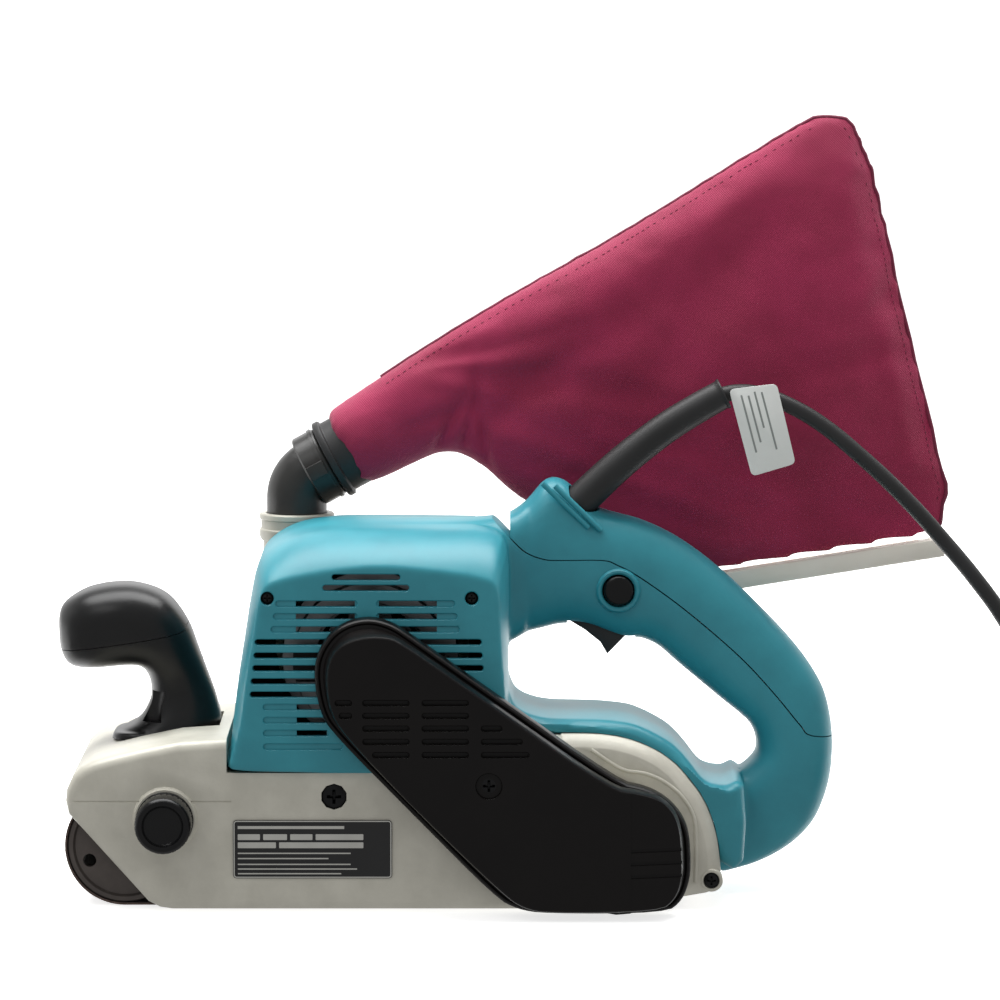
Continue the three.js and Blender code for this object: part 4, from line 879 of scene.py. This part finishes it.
def front_grip():
    stem = oval_bar("stem", GRIP, 0, 56, 0.78)
    foot = loft("foot", [oval(station, 0, 56, 0.5) for station in (
        (-69.6, 70.0, -119.4, 70.0, 21.6), (-69.4, 72.6, -118.4, 72.6, 21.6),
        (-69.9, 73.9, -116.6, 73.5, 20.6))])
    whole = blended(merged([stem, foot]), 0.95, 4)
    x, y = GRIP_SCREW
    cut(whole, box("flat", (-140, -50), (-40, 40), (60, 70.2)),
        turned("notch", [(4.6, 78.2), (5.0, 86), (6.6, 92)], (0, 0, 1), (x, y, 0), 40),
        box("notch", (x - 4.8, x + 4.8), (-30, y), (78.2, 92)),
        turned("shank", [(1.8, 68), (1.8, 80)], (0, 0, 1), (x, y, 0), 24))
    line = through(GRIP_SPLIT, 6)
    upper = prism("upper", line + [(-60, 160), (-160, 160)], -40, 40)
    cap = boolean(copied(whole), upper, "INTERSECT", keep=True)
    for v in upper.data.vertices:
        v.co.z -= 0.35 * MM
    cut(whole, upper)
    for part, name, node in ((whole, "front_grip_moulding", "front_grip_body"),
                             (cap, "front_grip_top", "front_grip_cap")):
        piece(part, name, GRIP_BLACK, "chassis", "black_plastic", node, sharp=34)


# ---- fasteners and controls ----
# where each screw's head faces, then its radius, its depth and the shank's radius
SCREW_HEADS = {
    "side_screw": ("-Y", 5.6, 4.2, 2.5), "belt_cover_screw": ("-Y", 4.8, 3.0, 2.2),
    "rear_screw": ("-Y", 3.4, 2.0, 1.0), "housing_screw_front": ("-Y", 2.7, 2.2, 1.3),
    "housing_screw_rear": ("-Y", 2.7, 2.2, 1.3), "handle_screw_upper": ("+Y", 3.0, 2.4, 1.4),
    "handle_screw_lower": ("+Y", 3.0, 2.4, 1.4), "fan_cover_screw": ("+Y", 3.0, 2.0, 1.5),
    "platen_screw_front": ("+Z", 4.0, 2.2, 2.0), "platen_screw_rear": ("+Z", 4.0, 2.2, 2.0),
    "front_grip_screw": ("+Z", 3.1, 2.2, 1.5),
}
FACINGS = {"-Y": (0, -1, 0), "+Y": ACROSS, "+Z": (0, 0, 1)}
THREAD_PITCH = 0.8


def screw(name, facing, head, depth, shank):
    """A round-headed screw with a cross recess, where its CAD screw is."""
    low, high = node_box(name)
    axis = Vector(FACINGS[facing])
    middle = (low + high) / 2
    top = high if sum(axis) > 0 else low
    length = abs((high - low).dot(axis))
    at = middle + (top - middle).dot(axis) * axis
    dome = head * 0.12
    profile = [(0.02, -0.01), (head * 0.45, -dome * 0.2), (head * 0.8, -dome), (head, -dome - 0.5),
               (head, -depth), (shank, -depth - 0.1)]
    for i in range(int(max(length - depth - 1, 1) / THREAD_PITCH)):
        level = -depth - 0.5 - THREAD_PITCH * i
        profile += [(shank * 0.84, level), (shank, level - THREAD_PITCH / 2)]
    profile.append((shank * 0.4, -length))
    body = turned("screw", profile, tuple(axis), tuple(at), 32)
    turn_to = frame_of(axis)
    arms = []
    for long, wide in ((head * 0.62, head * 0.13), (head * 0.13, head * 0.62)):
        arm = loft("arm", [[turn_to @ Vector((x * k, y * k, level)) + at for x, y in
                            ((-long, -wide), (long, -wide), (long, wide), (-long, wide))]
                           for level, k in ((0.6, 1.1), (-0.9, 0.82), (-depth * 0.7, 0.5))])
        arms.append(arm)
    cut(body, *arms)
    piece(body, name + "_detail", SCREW, "chassis", "screw_black", name, sharp=35)


def tracking_knob():
    x, z = -91.5, 42.1
    profile = [(0.02, -88.15), (8.2, -88.2), (8.7, -88.6), (9.3, -89.9), (9.7, -90), (11.2, -90),
               (12.2, -89.2), (12.6, -88), (12.6, -76.4), (12.2, -75.9), (12.2, -75.2),
               (12.9, -74.6), (12.9, -72.6), (12.2, -71.5), (4, -71.4), (4, -56.6)]
    body = turned("knob", profile, ACROSS, (x, 0, z), 120)
    cut(body, merged([drill((x + 13.0 * math.cos(turn), z + 13.0 * math.sin(turn)),
                            0.62, -91.5, -77, 10)
                      for turn in (2 * math.pi * i / 30 for i in range(30))]))
    piece(body, "tracking_knob_cap", BLACK_GLOSS, "knob", "black_plastic", "tracking_knob")


def lock_button():
    x, z = LOCK_AT
    body = turned("lock", [(4, -10), (4, -13.5), (6.8, -13.7), (6.8, -19.2), (6.5, -20.0),
                           (5.8, -20.5), (5.0, -20.6), (0.02, -20.75)], ACROSS, (x, 0, z))
    piece(body, "lock_button_cap", BLACK_GLOSS, "lock_key", "black_plastic", "lock_button")


# ---- rollers and belt ----
def belt_loop(radius, steps=40):
    """A stretched loop round both roller axles."""
    points = []
    for (x, z), start in ((REAR_AXLE, -90), (FRONT_AXLE, 90)):
        for i in range(steps + 1):
            turn = math.radians(start + 180 * i / steps)
            points.append((x + radius * math.cos(turn), z + radius * math.sin(turn)))
    return points


def abrasive_belt():
    """Grit outside, backing cloth inside, with one slanted splice."""
    outer, inner = belt_loop(27.0), belt_loop(26.05)
    verts, faces = [], []
    for y in (-50, 50):
        for ring in (outer, inner):
            verts += [Vector((x, y, z)) * MM for x, z in ring]
    count = len(outer)
    for j in range(count):
        k = (j + 1) % count
        for a, b in ((0, 2), (3, 1), (2, 3), (1, 0)):
            faces.append((a * count + j, a * count + k, b * count + k, b * count + j))
    belt = tidy(mesh_object("belt", verts, faces), 30)
    piece(belt, "sanding_belt_cloth", GRIT, "abrasive_belt", "abrasive", "sanding_belt", sharp=30)
    belt.data.materials.append(BACKING)
    for face in belt.data.polygons:
        middle = face.center / MM
        flat = abs(face.normal.y) < 0.5
        past = middle.x - max(FRONT_AXLE[0], min(REAR_AXLE[0], middle.x))
        inward = (middle.z - FRONT_AXLE[1]) * face.normal.z + past * face.normal.x < 0
        face.material_index = 1 if flat and inward else 0
    splice = loft("splice", [[(x + y * 0.6, y, z) for x, z in (
        (-20, 54.02), (-18, 54.02), (-18, 53.9), (-20, 53.9))] for y in (-49.5, 49.5)])
    piece(splice, "belt_splice", BACKING, "abrasive_belt", "abrasive")


def front_roller():
    x, z = FRONT_AXLE
    body = hoop("roller", [(6.4, -49.5), (14, -49.5), (16.4, -48.4), (22.4, -48.2), (23.4, -49.5),
                           (25.2, -49.5), (25.7, -49.0), (25.7, 49.0), (25.2, 49.5), (23.4, 49.5),
                           (22.4, 48.2), (16.4, 48.4), (14, 49.5), (6.4, 49.5), (6.4, 44), (20, 44),
                           (20, -44), (6.4, -44)], ACROSS, (x, 0, z), 96)
    cut(body, merged([drill((x + 17.4 * math.cos(turn), z + 17.4 * math.sin(turn)), 3, -60, 60, 32)
                      for turn in (2 * math.pi * i / 3 + math.pi + 0.41 for i in range(3))]))
    piece(body, "front_roller_turned", ROLLER, "front_drum", "steel", "front_roller")


# ---- tension spring ----
def tension_spring():
    """The coil spring behind the front roller, drawn as one fixed coil; the real spring shortens as
    its carriage slides back.
    """
    low, high = node_box("tension_spring")
    wire, turns, steps = 0.9, 4, 96
    middle = (low + high) / 2
    radius = (high.z - low.z) / 2 - wire
    first, last = low.x + wire, high.x - wire
    path = []
    for i in range(steps + 1):
        turn = 2 * math.pi * turns * i / steps
        path.append((first + (last - first) * i / steps, middle.y + radius * math.cos(turn),
                     middle.z + radius * math.sin(turn)))
    coil = tube("spring", path, [wire] * len(path), 12)
    piece(coil, "tension_spring_coil", STEEL, "chassis", "steel", "tension_spring")
    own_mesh(coil)


# ---- dust line ----
def dust_elbow():
    """A moulded elbow: the swivel spigot, a smooth bend, and a collar for the bag."""
    x0, y0, z0 = OUTLET
    out, corner = OUTLET_RUN, OUTLET_AT
    bend = math.pi / 2 - OUTLET_LEAN
    reach = 15.0
    back = reach * math.tan(bend / 2)
    path = [Vector((x0, y0, 162.5)), Vector((x0, y0, 168))]
    centre = Vector((x0 + reach, y0, z0 - back))
    for i in range(17):
        turn = bend * i / 16
        path.append(centre + reach * Vector((-math.cos(turn), 0, math.sin(turn))))
    path += [corner + out * 14, corner + out * 26]
    solid = tube("elbow", path, [13.9] * len(path), 64)
    hollow = tube("hollow", [Vector((x0, y0, 140))] + path[1:-1] + [corner + out * 40],
                  [9.6] + [10.2] * (len(path) - 2) + [11.4], 48)
    spigot = turned("spigot", [(11.9, 146.2), (11.9, 170)], (0, 0, 1), (x0, y0, 0), 64)
    collar = turned("collar", [(13.0, 6.2), (16.0, 6.2), (16.9, 7.0), (16.9, 16.6), (16.3, 17.4),
                               (13.0, 17.4)], out, corner, 72)
    rim = hoop("rim", [(16.2, 14.4), (17.5, 14.4), (17.5, 15.8), (16.2, 16.0)], out, corner, 72)
    add(solid, spigot, collar, rim)
    turn_to = frame_of(out)
    lugs = []
    for side in (-1, 1):
        lug = slab("lug", [(-3.4, 7.0), (3.4, 7.0), (3.4, 15.4), (-3.4, 15.4)], 14.6, 18.9, 0.5, 3)
        for v in lug.data.vertices:
            px, py, pz = v.co / MM
            v.co = (turn_to @ Vector((px, side * py, pz)) + corner) * MM
        lugs.append(tidy(lug))
    add(solid, *lugs)
    cut(solid, hollow)
    piece(solid, "dust_elbow_moulding", ELBOW_BLACK, "dust_line", "black_plastic", "dust_elbow")


# upper point, lower point, half thickness
BAG = [
    (-22.6, 214.2, -4.9, 181.6, 18.5), (-12, 221.5, 7.4, 186.2, 19), (3, 231.6, 19, 191.8, 19),
    (16, 240.4, 31, 196.4, 18.6), (30, 249.6, 41, 195.4, 17.8), (46, 260, 52, 188.4, 17.2),
    (64, 271, 62, 179, 17), (84, 283, 74, 170, 17), (106, 296.2, 91, 152, 17),
    (128, 309.8, 110, 134.6, 16.6), (150.3, 323.4, 135, 138, 16), (171, 336, 160, 141.9, 15),
    (190, 347.4, 186, 146, 13.6), (204, 354.2, 208, 149.5, 11.8), (214.5, 354, 228, 152.7, 9.4),
    (222.6, 347.6, 244, 155.2, 6.6), (227, 338.5, 256, 157.2, 4.2), (230, 331, 262.6, 160, 3),
    (233, 320, 265.2, 168, 2.4), (238.5, 298, 266, 182, 1.6),
]
RAIL_RISE = 0.159
BAG_Y = OUTLET[1]
BAG_VOXEL = 3.2
CLOTH_MOVE = 7.0
CLOTH_FRAMES = 20


def rail_top(x):
    return 141.1 + (x - 161.7) * RAIL_RISE


def fold(point, through_at, run, width, depth, fade):
    """How far a soft fold presses the cloth in at a point of the X-Z plane."""
    away = Vector((point.x - through_at[0], point.z - through_at[1]))
    along = away.dot(Vector(run).normalized())
    across = away.cross(Vector(run).normalized())
    return depth * math.exp(-(across / width) ** 2) * math.exp(-(along / fade) ** 2)


# middle of the fold, its direction, half width, depth and half length, all in millimetres
FOLDS = [
    ((33, 206), (0.5, 1.0), 2.6, 2.6, 20), ((42, 204), (0.25, 1.0), 2.2, 2.4, 22),
    ((50, 206), (-0.12, 1.0), 2.8, 2.8, 26), ((24, 212), (1.0, 0.35), 3.4, 1.8, 18),
    ((95, 245), (1.0, 0.62), 11, 2.8, 70), ((150, 262), (0.75, 1.0), 13, 3.2, 70),
    ((190, 240), (-0.15, 1.0), 12, 2.8, 60), ((222, 240), (1.0, 0.25), 7, 1.8, 26),
    ((110, 190), (1.0, 0.5), 9, 2.4, 50), ((205, 190), (1.0, -0.25), 9, 1.8, 44),
    ((70, 225), (1.0, 0.9), 7, 1.8, 40),
]


def crease_bag(obj):
    """Soft hollows pressed into both sides of the cloth, and the small waves of a loose edge."""
    obj.data.update()
    normals = [v.normal.copy() for v in obj.data.vertices]
    for vert, normal in zip(obj.data.vertices, normals):
        point = vert.co / MM
        side = 1 if normal.y < 0 else 0.7
        free = min(1.0, max(0.0, (point.x - 8) / 26))
        push = sum(fold(point, *row) for row in FOLDS) * side * free
        wave = noise.noise(point * 0.021 + Vector((3.1, side, 7.7))) * 2.4
        ripple = noise.noise(point * 0.075 + Vector((9.2, side, 1.3))) * 0.55
        held = max(0.0, 1 - abs(point.z - rail_top(point.x)) / 10) if point.x > 110 else 0
        loose = min(1.0, abs(normal.y) * 1.2)
        vert.co -= normal * (push * loose + (wave + ripple) * free * loose) * (1 - held) * MM


def inflate(obj):
    """Blows the closed bag up a little as cloth, held at its mouth and its rail."""
    before = [v.co.copy() for v in obj.data.vertices]
    group = obj.vertex_groups.new(name="held")
    for vert in obj.data.vertices:
        x, _, z = vert.co / MM
        if (x < 22 and z < 236) or (x > 105 and z < rail_top(x) + 6):
            group.add([vert.index], 1.0, "REPLACE")
    cloth = obj.modifiers.new("cloth", "CLOTH")
    sewn = cloth.settings
    sewn.quality = 6
    sewn.mass = 0.25
    sewn.use_pressure = True
    sewn.uniform_pressure_force = 4.0
    sewn.vertex_group_mass = "held"
    sewn.effector_weights.gravity = 0
    sewn.tension_stiffness = 25
    sewn.bending_stiffness = 0.6
    cloth.point_cache.frame_start, cloth.point_cache.frame_end = 1, CLOTH_FRAMES
    for step in range(1, CLOTH_FRAMES + 1):
        bpy.context.scene.frame_set(step)
    settle(obj)
    bpy.context.scene.frame_set(1)
    for vert, start in zip(obj.data.vertices, before):
        move = vert.co - start
        side = max(-CLOTH_MOVE * MM, min(CLOTH_MOVE * MM, move.y))
        vert.co = start + Vector((0.2 * move.x, side, 0.2 * move.z))


def dust_bag():
    stations = BAG[:2] + [(*ends, max(half - 3.0, 3.4)) for *ends, half in BAG[2:]]
    bag = oval_bar("bag", stations, BAG_Y, 56, 0.9)
    skin(bag, BAG_VOXEL)
    settle(bag)
    inflate(bag)
    smooth = bag.modifiers.new("even", "SMOOTH")
    smooth.factor, smooth.iterations = 0.5, 3
    fine = bag.modifiers.new("fine", "SUBSURF")
    fine.levels = fine.render_levels = 1
    settle(bag)
    crease_bag(bag)
    mouth = turned("mouth", [(17.6, -6), (17.6, 31.6), (15, 32)], OUTLET_RUN, OUTLET_AT, 72)
    trim = turned("trim", [(60, -40), (60, 18.3)], OUTLET_RUN, OUTLET_AT, 24)
    cut(bag, mouth, trim)
    piece(bag, "dust_bag_cloth", CLOTH, "dust_line", "cloth", "dust_bag", sharp=50)
    bag_seams(bag)


STITCH_PITCH = 2.6
SEAM_INSET = 3.4
BAG_MIDDLE = Vector((150, BAG_Y, 220))


def stitch(bag, start, ray, run):
    """A stitch where a ray meets the cloth, or nothing where it misses."""
    hit, place, normal, _ = bag.ray_cast(start * MM, ray)
    middle = place / MM + normal * 0.05
    ends = [middle - run * 0.75, middle, middle + run * 0.75]
    return [tube("stitch", ends, [0.16, 0.26, 0.16], 8)] if hit else []


def bag_seams(bag):
    """The edge seam, and the stitches of the seam and of the hem round the mouth."""
    top = [Vector((s[0], BAG_Y, s[1])) for s in through([b[:2] for b in BAG[2:]], 5)]
    side = [Vector((x, BAG_Y, z)) for x, z in through([(238.5, 298), (252.5, 240), (266, 182),
                                                       (265.6, 168), (263, 159)], 6)]
    line = [on_skin(bag, p) for p in top + side[1:]]
    seam = tube("seam", line, [0.95] * len(line), 12)
    piece(seam, "bag_edge_seam", CLOTH_DARK, "dust_line", "cloth")
    hem = OUTLET_AT + OUTLET_RUN * 24.6
    stitches = []
    for j in range(44):
        ray = spun(1, 0, OUTLET_RUN, (0, 0, 0), (j + 0.5) / 44)
        stitches += stitch(bag, hem + ray * 40, -ray, OUTLET_RUN.cross(ray).normalized())
    for here, after in zip(line, line[1:]):
        run = (after - here).normalized()
        count = int((after - here).length / STITCH_PITCH)
        inward = Vector((-run.z, 0, run.x)).normalized()
        for k in range(count):
            point = here.lerp(after, (k + 0.5) / count)
            way = SEAM_INSET if inward.dot(BAG_MIDDLE - point) > 0 else -SEAM_INSET
            spot = point + inward * way
            for face in (-1, 1):
                start = Vector((spot.x, BAG_Y + face * 60, spot.z))
                stitches += stitch(bag, start, Vector((0, -face, 0)), run)
    piece(merged(stitches), "bag_stitches", CLOTH_DARK, "dust_line", "cloth")


def on_skin(bag, point):
    hit, place, _, _ = bag.closest_point_on_mesh(point * MM)
    return place / MM if hit else point


# ---- strain relief, tag and rating plate ----
def cord_guard():
    """A tapering rubber sleeve along the start of the cord."""
    path = [Vector((x, CORD_Y, z)) for x, z in through(
        [(84.8, 168.3)] + ROUTE[1:8] + [(160.4, 227.7)], 4)]
    radii = [8.0 - 1.4 * i / (len(path) - 1) for i in range(len(path))]
    radii[-1], radii[-2], radii[-3] = 7.1, 7.4, 7.2
    guard = tube("guard", path, radii, 48)
    bore_path = [path[0] - (path[1] - path[0])] + path + [path[-1] + (path[-1] - path[-2]) * 2]
    cut(guard, tube("bore", bore_path, [4.0] * len(bore_path), 32))
    piece(guard, "cord_guard_rubber", RUBBER, "chassis", "rubber", "cord_guard")


def cord_tag():
    """A blank film label with round corners, which folds over the cord; only its flat near face is
    drawn.
    """
    corners = [(162.1, 229.8), (183.8, 232.5), (192.6, 196), (172.7, 190.1)]
    outline = []
    for i, here in enumerate(corners):
        before, after = corners[i - 1], corners[(i + 1) % 4]
        a = Vector(here) + (Vector(before) - Vector(here)).normalized() * 2.6
        b = Vector(here) + (Vector(after) - Vector(here)).normalized() * 2.6
        outline += [tuple(a.lerp(Vector(here), t).lerp(Vector(here).lerp(b, t), t))
                    for t in (0, 0.25, 0.5, 0.75, 1)]
    film = slab("film", outline, CORD_Y - 4.9, CORD_Y - 4.45, 0.15, 2)
    piece(film, "cord_tag_film", TAG, "chassis", "tag_plastic", "cord_tag")
    down = (Vector((172.7, 190.1)) - Vector((162.1, 229.8))).normalized()
    over = Vector((-down.y, down.x))
    bars = []
    for i in range(4):
        start = Vector((165.6, 226.6)) + over * (2.2 + 3.1 * i) + down * (1 if i % 2 else 0)
        end = start + down * (27 - 5 * (i % 3))
        wide = over * 0.42
        quad = [start - wide, end - wide, end + wide, start + wide]
        bars.append(prism("bar", [tuple(q) for q in quad], CORD_Y - 4.98, CORD_Y - 4.88))
    piece(merged(bars), "cord_tag_bars", TAG_GREY, "chassis", "tag_plastic")


def rounded_box(x0, x1, z0, z1, radius, steps=6):
    outline = []
    for cx, cz, start in ((x1 - radius, z1 - radius, 0), (x0 + radius, z1 - radius, 90),
                          (x0 + radius, z0 + radius, 180), (x1 - radius, z0 + radius, 270)):
        for i in range(steps + 1):
            turn = math.radians(start + 90 * i / steps)
            outline.append((cx + radius * math.cos(turn), cz + radius * math.sin(turn)))
    return outline


def rating_plate():
    """A black plate with a pale border and blank boxes and lines, with no lettering."""
    (x0, y0, z0), (x1, y1, z1) = node_box("nameplate")
    plate = slab("plate", rounded_box(x0, x1, z0, z1, 1.6), y0 + 0.12, y1, 0.12, 2)
    piece(plate, "rating_plate", PLATE_BLACK, "chassis", "black_plastic", "nameplate")
    border_out = rounded_box(x0 + 0.25, x1 - 0.25, z0 + 0.25, z1 - 0.25, 1.4)
    border = prism("border", border_out, y0 + 0.06, y0 + 0.2)
    cut(border, prism("window", inset(border_out, 0.5), y0 - 1, y0 + 1))
    marks = [border]
    wide, high = x1 - x0, z1 - z0
    for row, spans in ((0.66, ((0.03, 0.17), (0.19, 0.34), (0.36, 0.5), (0.52, 0.82))),
                       (0.52, ((0.03, 0.27), (0.29, 0.82)))):
        for a, b in spans:
            marks.append(prism("mark", rounded_box(x0 + a * wide, x0 + b * wide, z0 + row * high,
                                                   z0 + (row + 0.1) * high, 0.3),
                               y0 + 0.06, y0 + 0.2))
    for row, a, b in ((0.85, 0.03, 0.7), (0.42, 0.03, 0.74), (0.33, 0.03, 0.6), (0.23, 0.03, 0.74),
                      (0.15, 0.03, 0.78), (0.07, 0.03, 0.68)):
        tall = 0.05 if row > 0.8 else 0.022
        x, z = (x0 + a * wide, x0 + b * wide), (z0 + row * high, z0 + (row + tall) * high)
        marks.append(box("mark", x, (y0 + 0.08, y0 + 0.2), z))
    piece(merged(marks), "rating_plate_marks", PLATE_PALE, "chassis", "black_plastic")


# ---- build ----
teal_pieces()
rear_guard()
tension_spring()
belt_cover()
front_grip()
for screw_name, (facing, head, depth, shank) in SCREW_HEADS.items():
    screw(screw_name, facing, head, depth, shank)
tracking_knob()
lock_button()
abrasive_belt()
front_roller()
dust_elbow()
dust_bag()
cord_guard()
cord_tag()
cord()
rating_plate()


# ---- CAD nodes keep their shape: small edge radii and smooth shading only ----
def soften(name, width=0.35, sharp=38.0):
    obj = nodes[name]
    mesh = obj.data
    if mesh.has_custom_normals:
        mesh.attributes.remove(mesh.attributes["custom_normal"])
    mesh.shade_smooth()
    weld = obj.modifiers.new("weld", "WELD")
    weld.merge_threshold = 1e-5
    edge = obj.modifiers.new("edge", "BEVEL")
    edge.width = width * MM
    edge.segments = 2
    edge.limit_method = "ANGLE"
    edge.angle_limit = math.radians(sharp)
    edge.use_clamp_overlap = True
    edge.harden_normals = True


for name in nodes:
    if not nodes[name].hide_render:
        soften(name)
